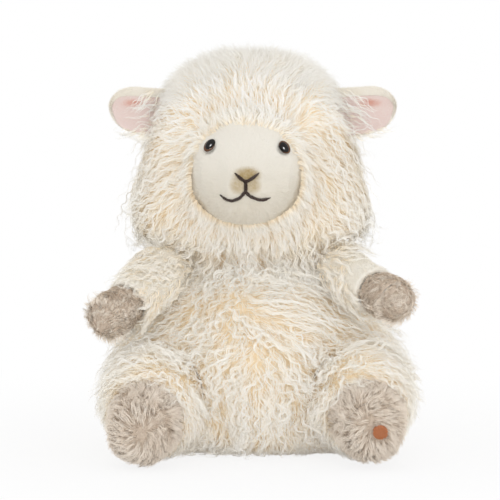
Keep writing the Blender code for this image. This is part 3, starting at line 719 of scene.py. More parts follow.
FREE_CURLS = {"count": 8, "width": 0.00042, "spread": 0.0026, "clump": 0.72, "low": 0.5, "high": 1.0,
              "pull": 0.0}
wool_backing("torso_cover", "body_backing", "torso", 0.003)
add_undercoat("body_undercoat", roots_on("torso_cover", UNDERCOAT_APART, above_floor), "torso", body_fall,
              low=0.2, high=0.9)
add_wool("body_wool", roots_on("torso_cover", LOCKS_APART, above_floor), "torso", body_fall, body_length,
         body_lift, wave=body_wave, pull=lambda root: 0.68 - 0.4 * brushed_out(root))
add_wool("body_curls", roots_on("torso_cover", 0.0125, above_floor), "torso", body_fall, body_length,
         lambda root: body_lift(root) + 0.002, wave=0.0028, flare=0.45, **FREE_CURLS)


# Collar
# The same wool on the short neck, where it curls tighter and shows its tan roots, a tan that is partly
# painted shade.

neck_low, neck_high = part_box("neck_cover")
NECK_MIDDLE = (neck_low + neck_high) / 2.0


def collar_fall(place, normal, drift):
    out = Vector((place.x - NECK_MIDDLE.x, place.y - NECK_MIDDLE.y, 0.0)).normalized()
    return out * 0.8 + Vector((drift.x * 1.3, drift.y * 1.3, -0.5 + drift.z * 1.3))


wool_backing("neck_cover", "neck_backing", "neck", 0.002, 0.001, 0.006, fill=0.8)
add_undercoat("collar_undercoat", roots_on("neck_cover", 0.0028), "neck", collar_fall, length=0.036,
              lift=0.006, low=0.3, high=0.9)
add_wool("collar_wool", roots_on("neck_cover", 0.0040), "neck", collar_fall, 0.050, 0.011,
         points=22, wave=0.0024, low=0.35, high=0.95)


# Hood and mane
# The same wool on the head, longest at the jaw, where it hangs over the collar, and shorter,
# paler and fluffier on the crown, where it is brushed up and back from the face.

hood_low, hood_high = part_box("head_hood")
face_low, face_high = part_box("face_panel")
HOOD_MIDDLE = (hood_low + hood_high) / 2.0
FACE_MIDDLE = (face_low + face_high) / 2.0
MANE_STROKES = (
    ((0.13, 0.65), (-0.95, -0.10)), ((0.11, 0.48), (-0.90, -0.40)), ((0.08, 0.26), (-0.75, -0.65)),
    ((0.22, 0.14), (-0.50, -0.85)), ((0.17, 0.37), (-0.85, -0.50)), ((0.83, 0.54), (0.40, -0.90)),
    ((0.94, 0.37), (0.55, -0.80)), ((0.92, 0.18), (0.70, -0.70)), ((0.81, 0.23), (0.25, -0.95)),
    ((0.50, 0.75), (0.00, 1.00)), ((0.35, 0.75), (-0.35, 0.90)), ((0.68, 0.74), (0.40, 0.85)),
    ((0.28, 0.93), (-0.45, 0.80)), ((0.72, 0.93), (0.60, 0.65)), ((0.19, 0.79), (-0.85, 0.30)),
    ((0.85, 0.76), (0.85, 0.05)), ((0.50, 0.08), (0.00, -1.00)), ((0.37, 0.10), (-0.30, -0.95)),
    ((0.65, 0.10), (0.30, -0.95)),
)
mane_brush = brushed(MANE_STROKES, hood_low, hood_high)
CROWN = hood_low.z + 0.68 * (hood_high.z - hood_low.z)


def crown_share(place):
    return clamped((place.z - CROWN) / (hood_high.z - CROWN) * 1.6)


def mane_fall(place, normal, drift):
    front = front_share(place, HOOD_MIDDLE.y - 0.01, 0.05)
    top = crown_share(place)
    behind = Vector(((place.x - HOOD_MIDDLE.x) * 8.0, 0.6 * top, -1.0 + 0.7 * top)).normalized()
    fall = mane_brush(place) + Vector((0.0, 0.15 + 0.3 * top, 0.0))
    return fall * front + behind * (1.0 - front) + drift * 0.7


def mane_length(root):
    long = 0.032 + 0.008 * noise.noise(root / 0.03) + 0.015 * low_down(root) + 0.010 * under_chin(root)
    return long * (1.0 - 0.47 * crown_share(root))


def low_down(root):
    """0 from the middle of the hood upwards, 1 at the jaw."""
    return clamped((HOOD_MIDDLE.z - 0.01 - root.z) / 0.03)


def mane_lift(root):
    high = 0.0065 + 0.0010 * crown_share(root) + 0.002 * low_down(root)
    return high * (1.0 + 0.35 * ridge(root) * (1.0 - crown_share(root)))


def under_chin(root):
    """1 on the front of the collar, where the wool curls in ringlets."""
    low = clamped((0.172 - root.z) / 0.012)
    return low * front_share(root, HOOD_MIDDLE.y - 0.01, 0.03)


def mane_wave(root):
    return 0.0015 - 0.0011 * crown_share(root) + 0.0012 * under_chin(root)


def by_the_face(root):
    return closeness(root, FACE_SURFACE, 0.013) > 0.0


def on_crown(root):
    ragged = 0.25 * noise.noise(root / 0.006)
    return crown_share(root) + ragged >= 0.42 and not by_the_face(root)


def below_crown(root):
    return not on_crown(root) and not by_the_face(root)


# The crown's wool, whose last pair of colours is its own painted glow.
CROWN_WOOL = wool_finish(
    "crown_locks", ((0.89, 0.81, 0.66), (0.91, 0.87, 0.79)), ((0.90, 0.85, 0.75), (0.91, 0.885, 0.83)),
    ((0.90, 0.87, 0.79), (0.915, 0.90, 0.855)), ((0.85, 0.72, 0.56), (0.45, 0.44, 0.43)))
wool_backing("head_hood", "hood_backing", "head", 0.003)
add_undercoat("mane_undercoat", roots_on("head_hood", UNDERCOAT_APART, below_crown), "head", mane_fall)
add_undercoat("crown_undercoat", roots_on("head_hood", UNDERCOAT_APART, on_crown), "head", mane_fall,
              low=0.5, high=1.0, finish=CROWN_WOOL)
# Painted shade: darker tan wool where the wool meets the face's edge.
add_undercoat("cheek_undercoat", roots_on("head_hood", 0.0026, by_the_face), "head", mane_fall,
              low=0.0, high=0.45)
add_wool("mane_wool", roots_on("head_hood", LOCKS_APART, below_crown), "head", mane_fall, mane_length,
         mane_lift, wave=mane_wave)
add_wool("mane_curls", roots_on("head_hood", 0.0115, below_crown), "head", mane_fall,
         lambda root: mane_length(root) + 0.006, lambda root: mane_lift(root) + 0.004, wave=0.0026,
         flare=0.7, **FREE_CURLS)
add_wool("crown_wool", roots_on("head_hood", 0.0040, on_crown), "head", mane_fall, mane_length,
         mane_lift, wave=mane_wave, count=16, points=12, width=0.00026, spread=0.0050, clump=0.2,
         flare=0.25, low=0.8, high=1.1, pull=0.15, finish=CROWN_WOOL)


# Face
# Short cream plush cut in one piece, smooth and full, with a warm olive shade sprayed round
# the nose. The stitching pulls it in a little, and brushed wool frames it and hides its seam.

HOOD_SURFACE = tree_of(["head_hood"])
NOSE = Vector((-0.0037, face_low.y, 0.1944))
EYES = {"left": Vector((-0.0280, 0.0, 0.2145)), "right": Vector((0.0225, 0.0, 0.2136))}
OUTWARDS = {"left": -1.0, "right": 1.0}


def sculpted_face(piece):
    """Hollows for the eyes, full cheeks over the mouth and fine pleats on the chin."""
    places, ways = points_of(piece.data), normals_of(piece.data)
    for place, way in zip(places, ways):
        if way[1] > 0.2:
            continue
        x, z = place[0], place[2]
        push = 0.0
        for side, eye in EYES.items():
            right, rise = x - eye.x, z - eye.z
            push -= 0.0005 * bump(math.hypot(right, rise), 0.0062)
            push += 0.0010 * bump(math.hypot(right - OUTWARDS[side] * 0.0045, rise + 0.0090), 0.0050)
        for way_out in OUTWARDS.values():
            right = x - NOSE.x - way_out * 0.0105
            push += 0.0018 * bump(math.hypot(right, (z - NOSE.z + 0.0075) * 1.1), 0.0075)
            right -= way_out * 0.0120
            push -= 0.0022 * bump(math.hypot(right, (z - NOSE.z - 0.006) * 0.8), 0.0075)
        push -= 0.0009 * bump(x - NOSE.x, 0.0016) * bump(z - NOSE.z + 0.004, 0.006)
        below = clamped((NOSE.z - 0.014 - z) / 0.006)
        round_mouth = math.atan2(x - NOSE.x, NOSE.z - 0.004 - z)
        push += 0.00030 * below * math.sin(19.0 * round_mouth) * bump(z - NOSE.z + 0.024, 0.012)
        place += way * push
        narrow = clamped((EYES["left"].z - 0.006 - z) / 0.030)
        inside = 1.0 - closeness(Vector((x, place[1], z)), HOOD_SURFACE, 0.012)
        place[0] -= (x - NOSE.x) * 0.14 * narrow * inside
    piece.data.vertices.foreach_set("co", places.ravel())
    piece.data.update()
    return piece


def face_colour(finish, right, rise):
    """Cream plush with painted shade darkening it towards the chin, and an olive spray between the nose's
    arms and beside the line under them.
    """
    def spray(across, up, wide, high):
        away_across, away_up = (right - across) / wide, (rise - up) / high
        return 1.0 - (away_across * away_across + away_up * away_up).within(0.0, 1.0)

    sprayed = spray(0.0010, 0.0028, 0.0115, 0.0070)
    for lobe in (spray(-0.0048, -0.0034, 0.0075, 0.0075), spray(0.0044, -0.0034, 0.0075, 0.0075)):
        sprayed = sprayed.maths("MAXIMUM", sprayed, lobe * 0.7)
    mottled = sprayed * (0.45 + 0.75 * finish.cloud(520.0, 2.0))
    # Painted shade: the plush darkens from the forehead down to the chin.
    lower_face_painted_shade = finish.cloud(90.0).between((0.71, 0.65, 0.54), (0.765, 0.72, 0.63))
    plush_colour = rise.within(-0.020, 0.025).between(lower_face_painted_shade, (0.86, 0.82, 0.74))
    return mottled.between(plush_colour, (0.38, 0.25, 0.06))


FACE_PLUSH, face_shader, face = new_finish("face_plush", Roughness=0.9, Specular_IOR_Level=0.15)
face_shader.inputs["Sheen Weight"].default_value = 0.2
spot = face.node("ShaderNodeSeparateXYZ", {0: face.place()}, 0)
height = face.node("ShaderNodeSeparateXYZ", {0: face.place()}, 2)
dress(
    face_shader,
    Base_Color=face_colour(face, spot - NOSE.x, height - NOSE.z),
    Normal=relief(face.cloud(1500.0, 2.0, 0.7), 0.0004))
FACE_NAP, nap_shader, nap = new_finish("face_nap", Roughness=0.9, Specular_IOR_Level=0.15)
chart = nap.node("ShaderNodeUVMap", uv_map="OFBake")
FACE_SIZE = face_high - face_low
nap_right = nap.node("ShaderNodeSeparateXYZ", {0: chart}, 0) * FACE_SIZE.x + face_low.x - NOSE.x
nap_rise = nap.node("ShaderNodeSeparateXYZ", {0: chart}, 1) * FACE_SIZE.z + face_low.z - NOSE.z
dress(nap_shader, Base_Color=face_colour(nap, nap_right, nap_rise))

skin = fit(sculpted_face(rounded_copy("face_panel", "face_skin", 0.0011, 10)),
           FACE_PLUSH, "head", "short_plush", "face_panel", fill=0.95)


def nap_on(piece, spacing, length, flow, keep=None):
    """Short straight pile on a finished piece: its roots and its strands."""
    roots = spread_roots(piece.data, spacing, open_to=0.0)
    roots = [(root, out) for root, out in roots if not keep or keep(root)]
    lines = []
    for root, out in roots:
        way = (flow(root) + noise.noise_vector(root / 0.01) * 0.4 + Vector(CHANCE.normal(0.0, 0.3, 3)))
        way = (way - out * way.dot(out)).normalized() + out * CHANCE.uniform(0.3, 0.9)
        way = way.normalized() * length * CHANCE.uniform(0.7, 1.2)
        lines.append([root - out * 0.0002, root + way * 0.5 + out * length * 0.12, root + way])
    lines = np.array(lines)
    outs = np.repeat(np.array([out for _, out in roots])[:, None], 3, axis=1)
    strands = strands_from(lines, outs, 1, 3, 0.0001, 0.0, 0.0, 0.01, 0.00032, stray=0.0, thin=0.7)
    return roots, strands


def face_flow(place):
    return Vector((place.x - NOSE.x, 0.0, (place.z - NOSE.z) * 0.8 + 0.004)).normalized()


def off_the_eyes(root):
    return all(math.hypot(root.x - eye.x, root.z - eye.z) > 0.0056 for eye in EYES.values())


roots, strands = nap_on(skin, 0.0011, 0.0017, face_flow, off_the_eyes)
places = np.array([root for root, _ in roots])
charted = np.stack((
    (places[:, 0] - face_low.x) / FACE_SIZE.x, (places[:, 2] - face_low.z) / FACE_SIZE.z), axis=1)
strand_pieces("face_pile", strands, np.zeros(len(roots)), FACE_NAP, "head", "short_plush",
              np.clip(charted, 0.001, 0.999))

HAIRLINE = 0.2295


def on_face_edge(root):
    """The edge of the face, and its top down to the hairline."""
    ragged = 0.0025 * noise.noise(root / 0.006)
    reach = (0.0135 if root.x > NOSE.x else 0.0115) + ragged
    return closeness(root, HOOD_SURFACE, reach) > 0.0 or root.z > HAIRLINE + ragged


def off_face(place, normal, drift):
    """Away from the middle of the face, brushed up over the forehead."""
    right, rise = place.x - FACE_MIDDLE.x, place.z - FACE_MIDDLE.z - 0.005
    hang = 0.8 * clamped((EYES["left"].z + 0.004 - place.z) / 0.010)
    out = Vector((right, 0.0, rise + 0.25 * abs(rise))).normalized()
    return out + Vector((0.0, 0.0, -hang)) + drift * 0.6


add_undercoat("brow_undercoat", roots_on("face_panel", 0.0022, on_face_edge), "head", off_face,
              length=0.010, lift=0.002, low=0.2)
add_wool("brow_wool", roots_on("face_panel", 0.0026, on_face_edge), "head", off_face,
         0.014, 0.0045, count=9, points=8, wave=0.0005, width=0.00028,
         spread=0.0026, clump=0.4, flare=0.4, low=0.4, high=1.0, apart=0.008, pull=0.3, clear=-0.01)
add_wool("cheek_wool", roots_on("head_hood", 0.0034, by_the_face), "head", mane_fall,
         0.019, 0.0065, count=8, points=11, wave=0.0008, width=0.00036,
         spread=0.0028, clump=0.6, flare=0.4, low=0.2, high=1.0, apart=0.010, pull=0.4)


# Eyes
# Glossy black plastic domes on shanks, each over a brown ring, pushed through the face and
# locked from inside by a white washer.

EYE_BLACK, black_shader, black = new_finish("eye_black", IOR=1.33, Specular_IOR_Level=0.5)
dress(
    black_shader,
    Base_Color=black.cloud(300.0).between((0.006, 0.005, 0.005), (0.012, 0.010, 0.009)),
    Roughness=black.cloud(2000.0) * 0.04 + 0.03)
EYE_BROWN, brown_shader, brown = new_finish("eye_brown", IOR=1.36, Specular_IOR_Level=0.5)
dress(
    brown_shader,
    Base_Color=brown.cloud(900.0).between((0.075, 0.030, 0.014), (0.16, 0.075, 0.035)),
    Roughness=brown.cloud(2000.0) * 0.1 + 0.15)
WASHER = clouded_finish("white_washer", (0.70, 0.70, 0.68), (0.80, 0.80, 0.78), 200.0, Roughness=0.4)

def oval_eye(name, centre, facing, tilt, tall, wide, deep, finish, slot, node):
    """A flattened dome that leans to one side, broadest a little behind its front."""
    rings, turns = 13, 36
    out = facing.normalized()
    up = Vector((math.sin(tilt), 0.0, math.cos(tilt)))
    up = (up - out * up.dot(out)).normalized()
    across = up.cross(out)
    places = [centre + out * deep]
    for ring in range(rings):
        angle = math.pi * 0.62 * (ring + 1) / rings
        spread, rise = math.sin(angle) ** 0.92, math.cos(angle)
        for turn in range(turns):
            a = math.tau * turn / turns
            places.append(
                centre + up * (tall * spread * math.cos(a)) + across * (wide * spread * math.sin(a))
                + out * (deep * rise))
    front = [(0, 1 + (turn + 1) % turns, 1 + turn) for turn in range(turns)]
    faces = front + sides_of(rings, turns, 1) + ends_of(rings, turns, 1)[1:]
    fit(new_piece(name, places, faces), finish, "head", slot, node)


SKIN_SURFACE = surface_of(skin.data)


def on_skin(x, z, above=0.0):
    """The place on the face in front of which a point lies, and the way out of the face there."""
    hit, normal, _, _ = SKIN_SURFACE.ray_cast(Vector((x, -0.2, z)), Vector((0.0, 1.0, 0.0)))
    return hit + normal * above, normal


def over_the_hole(x, z, reach=0.0055):
    """The middle of the face round the hole for a shank, and the way out of the face there."""
    round_about = [
        on_skin(x + reach * math.cos(a), z + reach * math.sin(a))
        for a in np.linspace(0.0, math.tau, 17)[1:]]
    middle = sum((place for place, _ in round_about), Vector()) / len(round_about)
    return middle, sum((way for _, way in round_about), Vector()).normalized()


for side, eye in EYES.items():
    seat, way = over_the_hole(eye.x, eye.z)
    facing = (way + Vector((0.0, -0.6, 0.0))).normalized()
    lean = math.radians(-29.0) * OUTWARDS[side]
    oval_eye(f"eye_rim_{side}", seat + way * 0.0014, facing, lean, 0.0050, 0.0036, 0.0016,
             EYE_BROWN, "eye_brown", f"eye_ring_{side}")
    inwards = Vector((0.0006, 0.0, 0.0004)) * -OUTWARDS[side]
    oval_eye(f"eye_bead_{side}", seat + way * 0.0015 + inwards, facing, lean, 0.0045, 0.0031, 0.0026,
             EYE_BLACK, "eye_black", f"eye_dome_{side}")
    washer_piece = frame["nodes"][f"eye_washer_{side}"]
    washer_piece.data.materials.clear()
    washer_piece.data.materials.append(WASHER)


# Nose and mouth
# Dark brown embroidery thread in short slanting satin stitches, pulled through the plush.

THREAD, thread_shader, thread = new_finish("brown_thread", Roughness=0.5)
ply = thread.node("ShaderNodeTexWave", {"Vector": thread.place(), "Scale": 900.0, "Distortion": 1.5})
dress(
    thread_shader,
    Base_Color=ply.between((0.030, 0.012, 0.008), (0.085, 0.038, 0.024)),
    Normal=relief(ply, 0.0002))


def twisted_thread(name, line, node, thick=0.00086, pitch=0.0022, tips=0.3):
    """Three strands wound round a line on the face, given as steps right of and above the nose."""
    marks = np.array(line) * 0.001
    spans = np.concatenate(([0.0], np.cumsum(np.linalg.norm(np.diff(marks, axis=0), axis=1))))
    fine = np.linspace(0.0, spans[-1], max(12, int(spans[-1] / 0.0003)))
    flat = np.stack([np.interp(fine, spans, marks[:, i]) for i in (0, 1)], axis=1)
    for _ in range(10):
        flat[1:-1] = (flat[:-2] + 2.0 * flat[1:-1] + flat[2:]) / 4.0
    seats = [on_skin(NOSE.x + x, NOSE.z + z, 0.00035) for x, z in flat]
    path = np.array([seat for seat, _ in seats])
    out = np.array([way for _, way in seats])
    run = np.gradient(path, axis=0)
    run /= np.linalg.norm(run, axis=1, keepdims=True)
    side = np.cross(run, out)
    travelled = fine[:, None]
    ends = np.minimum(1.0, tips + np.minimum(travelled, spans[-1] - travelled) / 0.005)
    uneven = np.array([[noise.noise(Vector((step / 0.0016, thick, 0.0)))] for step in fine])
    ends = ends * (1.0 + 0.3 * uneven)
    corners = 7
    places, faces = [], []
    for strand in range(3):
        turn = math.tau * (travelled / pitch + strand / 3.0)
        centre = path + (side * np.cos(turn) + out * np.sin(turn)) * thick * 0.95 * ends
        faces += sides_of(len(path), corners, len(places)) + ends_of(len(path), corners, len(places))
        for step, middle in enumerate(centre):
            for corner in range(corners):
                a = math.tau * corner / corners
                way = side[step] * math.cos(a) + out[step] * math.sin(a)
                places.append(middle + way * thick * 0.62 * ends[step, 0])
    fit(new_piece(name, places, faces, turn_out=False), THREAD, "head", "dark_thread", node)


twisted_thread("nose_thread", (
    (-7.4, 4.3), (-3.6, 0.9), (0.2, -1.5), (4.6, 1.0), (9.2, 4.4)), "nose_stitches")
twisted_thread("thread_under_nose", (
    (0.2, -0.2), (0.1, -4.0), (-0.1, -8.6)), "philtrum_stitches", 0.00095, tips=0.8)
twisted_thread("mouth_thread", (
    (-17.4, -10.4), (-13.6, -13.2), (-9.0, -14.2), (-3.8, -12.0), (-0.3, -7.6), (3.2, -10.8),
    (9.1, -13.2), (13.4, -13.2), (16.8, -12.3)), "mouth_stitches", 0.00084)


# Ears
# A back of cream plush and a lining of pale pink plush, sewn edge to edge and turned, then
# caught into the hood's side seams so that they stand out and cup forwards, with wisps of wool.

EAR_ROOT = 0.056
EAR_TIP = {"left": 0.0990, "right": 0.1015}
HALF_HIGH = {"left": 0.0165, "right": 0.0170}


def ear_spot(side, share, rise, ahead=0.0):
    """A place on the middle of the ear's thickness: a share of the way to its tip and up its side."""
    height = HALF_HIGH[side] * math.sqrt(max(0.0, 1.0 - (max(0.0, share - 0.55) / 0.45) ** 2))
    if rise < 0.0:
        height *= 1.0 + 0.25 * max(0.0, 0.62 - share)
    cup = 0.0075 * (1.0 - rise * rise) * (1.0 - 0.5 * share)
    curl = 0.0035 * max(0.0, (rise - 0.55) / 0.45) ** 2
    return Vector((
        OUTWARDS[side] * (EAR_ROOT + (EAR_TIP[side] - EAR_ROOT) * share),
        0.0155 - 0.006 * share + cup - curl - ahead,
        0.2330 + 0.0040 * share ** 1.5 + height * rise))


PLUSH, plush_shader, plush = new_finish("cream_plush", Roughness=0.9, Specular_IOR_Level=0.15)
dress(
    plush_shader,
    Base_Color=plush.cloud(90.0).between((0.89, 0.84, 0.74), (0.93, 0.90, 0.83)),
    Normal=relief(plush.cloud(1400.0), 0.0003))
PINK, pink_shader, pink = new_finish("pink_plush", Roughness=0.9, Specular_IOR_Level=0.15)


def pile_finish(name, dark, pale):
    """Short pile, from its darker to its paler strands."""
    material, shader, pile = new_finish(name, Roughness=0.9, Specular_IOR_Level=0.15)
    chart = pile.node("ShaderNodeUVMap", uv_map="OFBake")
    shade = pile.node("ShaderNodeSeparateXYZ", {0: chart}, 0)
    dress(shader, Base_Color=shade.between(dark, pale))
    return material


# Painted shade: a deeper salmon in the hollow of each cupped ear.
pink_colour = pink.cloud(70.0).between((0.80, 0.63, 0.58), (0.84, 0.73, 0.70))
for side in OUTWARDS:
    away = pink.distance_from(ear_spot(side, 0.58, 0.28), (0.0120, 0.02, 0.0042)) + 0.5 * pink.cloud(500.0)
    pink_colour = away.within(0.3, 1.2).between((0.70, 0.36, 0.28), pink_colour)
dress(pink_shader, Base_Color=pink_colour, Normal=relief(pink.cloud(1400.0), 0.0003))
PLUSH_PILE = pile_finish("cream_pile", (0.88, 0.82, 0.70), (0.96, 0.94, 0.89))
PINK_PILE = pile_finish("pink_pile", (0.76, 0.42, 0.33), (0.87, 0.81, 0.79))


def ear_shell(name, side, first, last, top, thick, ahead, fullness):
    """A cupped leaf of cloth between two shares of the ear's length, rounded at its edges.

    It reaches up to a share of the ear's upper side and just short of its lower edge.
    """
    steps, turns = 34, 44
    rounded = 0.12
    places = []
    for step in range(steps):
        share = first + (last - first) * math.sin(math.pi / 2.0 * step / (steps - 1))
        near_end = max(0.0, share - last + rounded) / rounded if last < 1.0 else 0.0
        pinch = math.sqrt(max(0.0, 1.0 - near_end ** 2))
        for turn in range(turns):
            a = math.tau * turn / turns
            rise = top * math.cos(a) if top == 1.0 else (top - 0.93 + (top + 0.93) * math.cos(a)) / 2.0
            bulge = math.copysign(abs(math.sin(a)) ** fullness, math.sin(a)) * thick / 2.0
            edge = min(1.0, (1.02 - share) / rounded)
            places.append(ear_spot(side, share, rise * pinch, ahead + bulge * edge))
    return new_piece(name, places, sides_of(steps, turns) + ends_of(steps, turns), weld=0.00002)


def pile_on(name, piece, material, body, slot, spacing, length, flow, shade):
    """Short pile of one finish all over a finished piece."""
    roots, strands = nap_on(piece, spacing, length, flow)
    shades = np.array([shade(root) for root, _ in roots]) + CHANCE.normal(0.0, 0.12, len(roots))
    strand_pieces(name, strands, np.clip(shades, 0.02, 0.98), material, body, slot)


def cream_shade(root):
    return 0.55 + 0.5 * noise.noise(root / 0.015)


for side, outwards in OUTWARDS.items():
    hollow = ear_spot(side, 0.60, 0.25)

    # Painted shade: the lining's pile is darker in the ear's hollow, with random tone besides.
    def lining_shade(root):
        right, rise = (root.x - hollow.x) / 0.0120, (root.z - hollow.z) / 0.0036
        return 0.95 - 0.95 * bump(math.hypot(right, rise), 0.9) + 0.2 * noise.noise(root / 0.006)

    def to_the_tip(place):
        return Vector((outwards, -0.1, 0.15))

    body = f"ear_{side}"
    leaf = fit(ear_shell(f"ear_plush_{side}", side, 0.0, 1.0, 1.0, 0.0040, 0.0, 0.8),
               PLUSH, body, "short_plush", f"ear_back_{side}", fill=0.5)
    lining = fit(ear_shell(f"ear_pink_{side}", side, 0.02, 0.95, 0.58, 0.0010, 0.0022, 0.5),
                 PINK, body, "pink_plush", f"ear_lining_{side}", fill=0.5)
    pile_on(f"ear_pile_{side}", leaf, PLUSH_PILE, body, "short_plush", 0.0010, 0.0020, to_the_tip,
            cream_shade)
    pile_on(f"ear_lining_pile_{side}", lining, PINK_PILE, body, "pink_plush", 0.0008, 0.0016, to_the_tip,
            lining_shade)

    def wisp_flow(place, normal, drift):
        return Vector((outwards * 0.9, 0.0, -0.35)) + drift * 0.6

    wisps = []
    for _ in range(70):
        share, rise = CHANCE.uniform(0.0, 0.45), CHANCE.uniform(-1.05, 0.9)
        if CHANCE.random() < 0.4:
            share, rise = CHANCE.uniform(0.1, 0.75), CHANCE.uniform(-1.0, -0.8)
        wisps.append((ear_spot(side, share, rise, 0.0028), Vector((0.0, -1.0, 0.0))))
    add_wool(f"ear_wisps_{side}", wisps, body, wisp_flow, lambda root: CHANCE.uniform(0.012, 0.024),
             0.0035, count=3, points=14, wave=0.0009, width=0.00034, spread=0.0014, clump=0.6,
             low=0.6, high=1.0, pull=0.2, clear=-0.01,
             ground=BVHTree.FromObject(leaf, bpy.context.evaluated_depsgraph_get()))


# Arms
# Sleeves of the same cream plush, stuffed softly and sewn into the shoulders, whose wool falls
# over the tops of them.

FROM_SHOULDER = {"left": 0.080, "right": 0.068}
for side, outwards in OUTWARDS.items():
    def down_the_sleeve(place):
        return Vector((outwards * 0.8, -0.3, -0.5))

    sleeve = fit(rounded_copy(f"arm_sleeve_{side}", f"sleeve_{side}", 0.0012, 12),
                 PLUSH, f"arm_{side}", "short_plush", f"arm_sleeve_{side}", fill=0.85)
    pile_on(f"sleeve_pile_{side}", sleeve, PLUSH_PILE, f"arm_{side}", "short_plush", 0.0010, 0.0026,
            down_the_sleeve, cream_shade)

    def near_shoulder(root):
        return abs(root.x) < FROM_SHOULDER[side] + 0.010 * noise.noise(root / 0.008)

    def over_the_sleeve(place, normal, drift):
        return Vector((outwards * 0.85, -0.3, -0.5)) + drift * 0.6

    on_sleeve = tree_of([f"arm_sleeve_{side}"])
    shoulder = roots_on(f"arm_sleeve_{side}", 0.0042, near_shoulder)
    add_wool(f"shoulder_wool_{side}", shoulder, f"arm_{side}", over_the_sleeve, 0.028, 0.0055,
             wave=0.0014 if side == "left" else 0.0008, width=0.00038, clump=0.7,
             low=0.4, ground=on_sleeve, clear=-0.01, pull=0.4)


# Paws and feet
# Dense taupe fur 8 to 10 mm long on a knitted backing. It lies away from the middle of each
# end pad and sole, paler at the tips.

FUR_BACKING = clouded_finish("fur_backing", (0.52, 0.41, 0.31), (0.70, 0.58, 0.47), 420.0, 4.0, 0.7,
                             depth=0.0015, Roughness=0.95)
FUR, fur_shader, fur = new_finish("taupe_fur", Roughness=0.8, Specular_IOR_Level=0.2)
hair = fur.node("ShaderNodeUVMap", uv_map="OFBake")
hair_shade = fur.node("ShaderNodeSeparateXYZ", {0: hair}, 0)
hair_along = fur.node("ShaderNodeSeparateXYZ", {0: hair}, 1)
dress(fur_shader, Base_Color=hair_shade.between(
    hair_along.within(0.0, 0.8).between((0.54, 0.43, 0.33), (0.78, 0.66, 0.54)),
    hair_along.within(0.0, 0.7).between((0.80, 0.69, 0.57), (0.98, 0.91, 0.81))))


OTHER_PIECES = tree_of([name for name in frame["nodes"] if name != "sole_dot_stitches"])


def tucked_skin(node, name, tuck):
    """The outer side of a hollow solid, rounded and drawn in to leave room for its fur."""
    own = tree_of([node])
    mesh = frame["nodes"][node].data
    shape = bmesh.new()
    shape.from_mesh(mesh)
    inside = []
    for face in shape.faces:
        start = face.calc_center_median() + face.normal * 0.0001
        if own.ray_cast(start, face.normal, 0.3)[0] or OTHER_PIECES.ray_cast(start, face.normal, 0.02)[0]:
            inside.append(face)
    bmesh.ops.delete(shape, geom=inside, context="FACES")
    bmesh.ops.remove_doubles(shape, verts=shape.verts, dist=0.00001)
    side = bpy.data.meshes.new(name)
    shape.to_mesh(side)
    shape.free()
    piece = bpy.data.objects.new(name, side)
    bpy.context.scene.collection.objects.link(piece)
    piece.modifiers.new("Smooth", "SUBSURF").levels = 2
    with_modifiers(piece, name)
    places, ways = points_of(piece.data), normals_of(piece.data)
    piece.data.vertices.foreach_set("co", (places - ways * tuck).ravel())
    piece.data.update()
    return piece


def add_fur(name, node, body, whorl, length, tuck, count=8, spacing=0.0019, low=0.35, high=1.05):
    """Short fur that lies away from a whorl."""
    def flow(place, normal, drift):
        return (place - whorl).normalized() * 0.8 + drift * 1.7 + Vector((0.0, 0.0, -0.3))

    roots = [(root - out * tuck, out) for root, out in roots_on(node, spacing, above_floor)]
    ground = tree_of([node])
    lines, outs = comb(roots, ground, flow, length, 0.0022, steps=6, clear=-0.01)
    strands = strands_from(lines, outs, count, 6, spacing, 0.35, 0.0003, 0.006, 0.00029, stray=0.15)
    shades = lock_shades(roots, count, 0.010, low, high, ground=ground)
    strand_pieces(name, strands, shades, FUR, body, "taupe_fur")


for side in OUTWARDS:
    pad_low, pad_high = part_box(f"paw_pad_{side}")
    pad = (pad_low + pad_high) / 2.0
    for node, name in ((f"paw_cover_{side}", "paw"), (f"paw_pad_{side}", "paw_end")):
        fit(lumpy(tucked_skin(node, f"{name}_backing_{side}", 0.004), 0.0004, 0.004),
            FUR_BACKING, f"arm_{side}", "taupe_fur", node, fill=0.9)
        add_fur(f"{name}_fur_{side}", node, f"arm_{side}", pad, 0.0085, 0.004, low=0.55, high=1.15)

    sole_low, sole_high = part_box(f"sole_panel_{side}")
    sole = (sole_low + sole_high) / 2.0
    sole.y = sole_low.y
    for node, name in ((f"foot_cover_{side}", "foot"), (f"sole_panel_{side}", "sole")):
        fit(lumpy(tucked_skin(node, f"{name}_backing_{side}", 0.0028), 0.0004, 0.004),
            FUR_BACKING, f"leg_{side}", "taupe_fur", node, fill=0.9)
        add_fur(f"{name}_fur_{side}", node, f"leg_{side}", sole, 0.0100, 0.0025)


# Thighs
# The body's long wool again, falling down and outwards and forwards over the ankles.

def thigh_fall(place, normal, drift):
    outwards = 0.9 if place.x > 0.0 else -0.9
    low = below_knee(place)
    return Vector((
        outwards * (1.0 - low) + drift.x * 0.7, -0.25 + 0.5 * low + drift.y * 0.4,
        -0.55 - 0.4 * low + drift.z * 0.5))


def below_knee(place):
    """1 beside the foot and 0 from the knee up."""
    return clamped((0.055 - place.z) / 0.02) * front_share(place, -0.035, 0.04)


def thigh_length(root):
    return 0.031 - 0.017 * below_knee(root)


def thigh_lift(root):
    return 0.0105 - 0.0075 * below_knee(root)


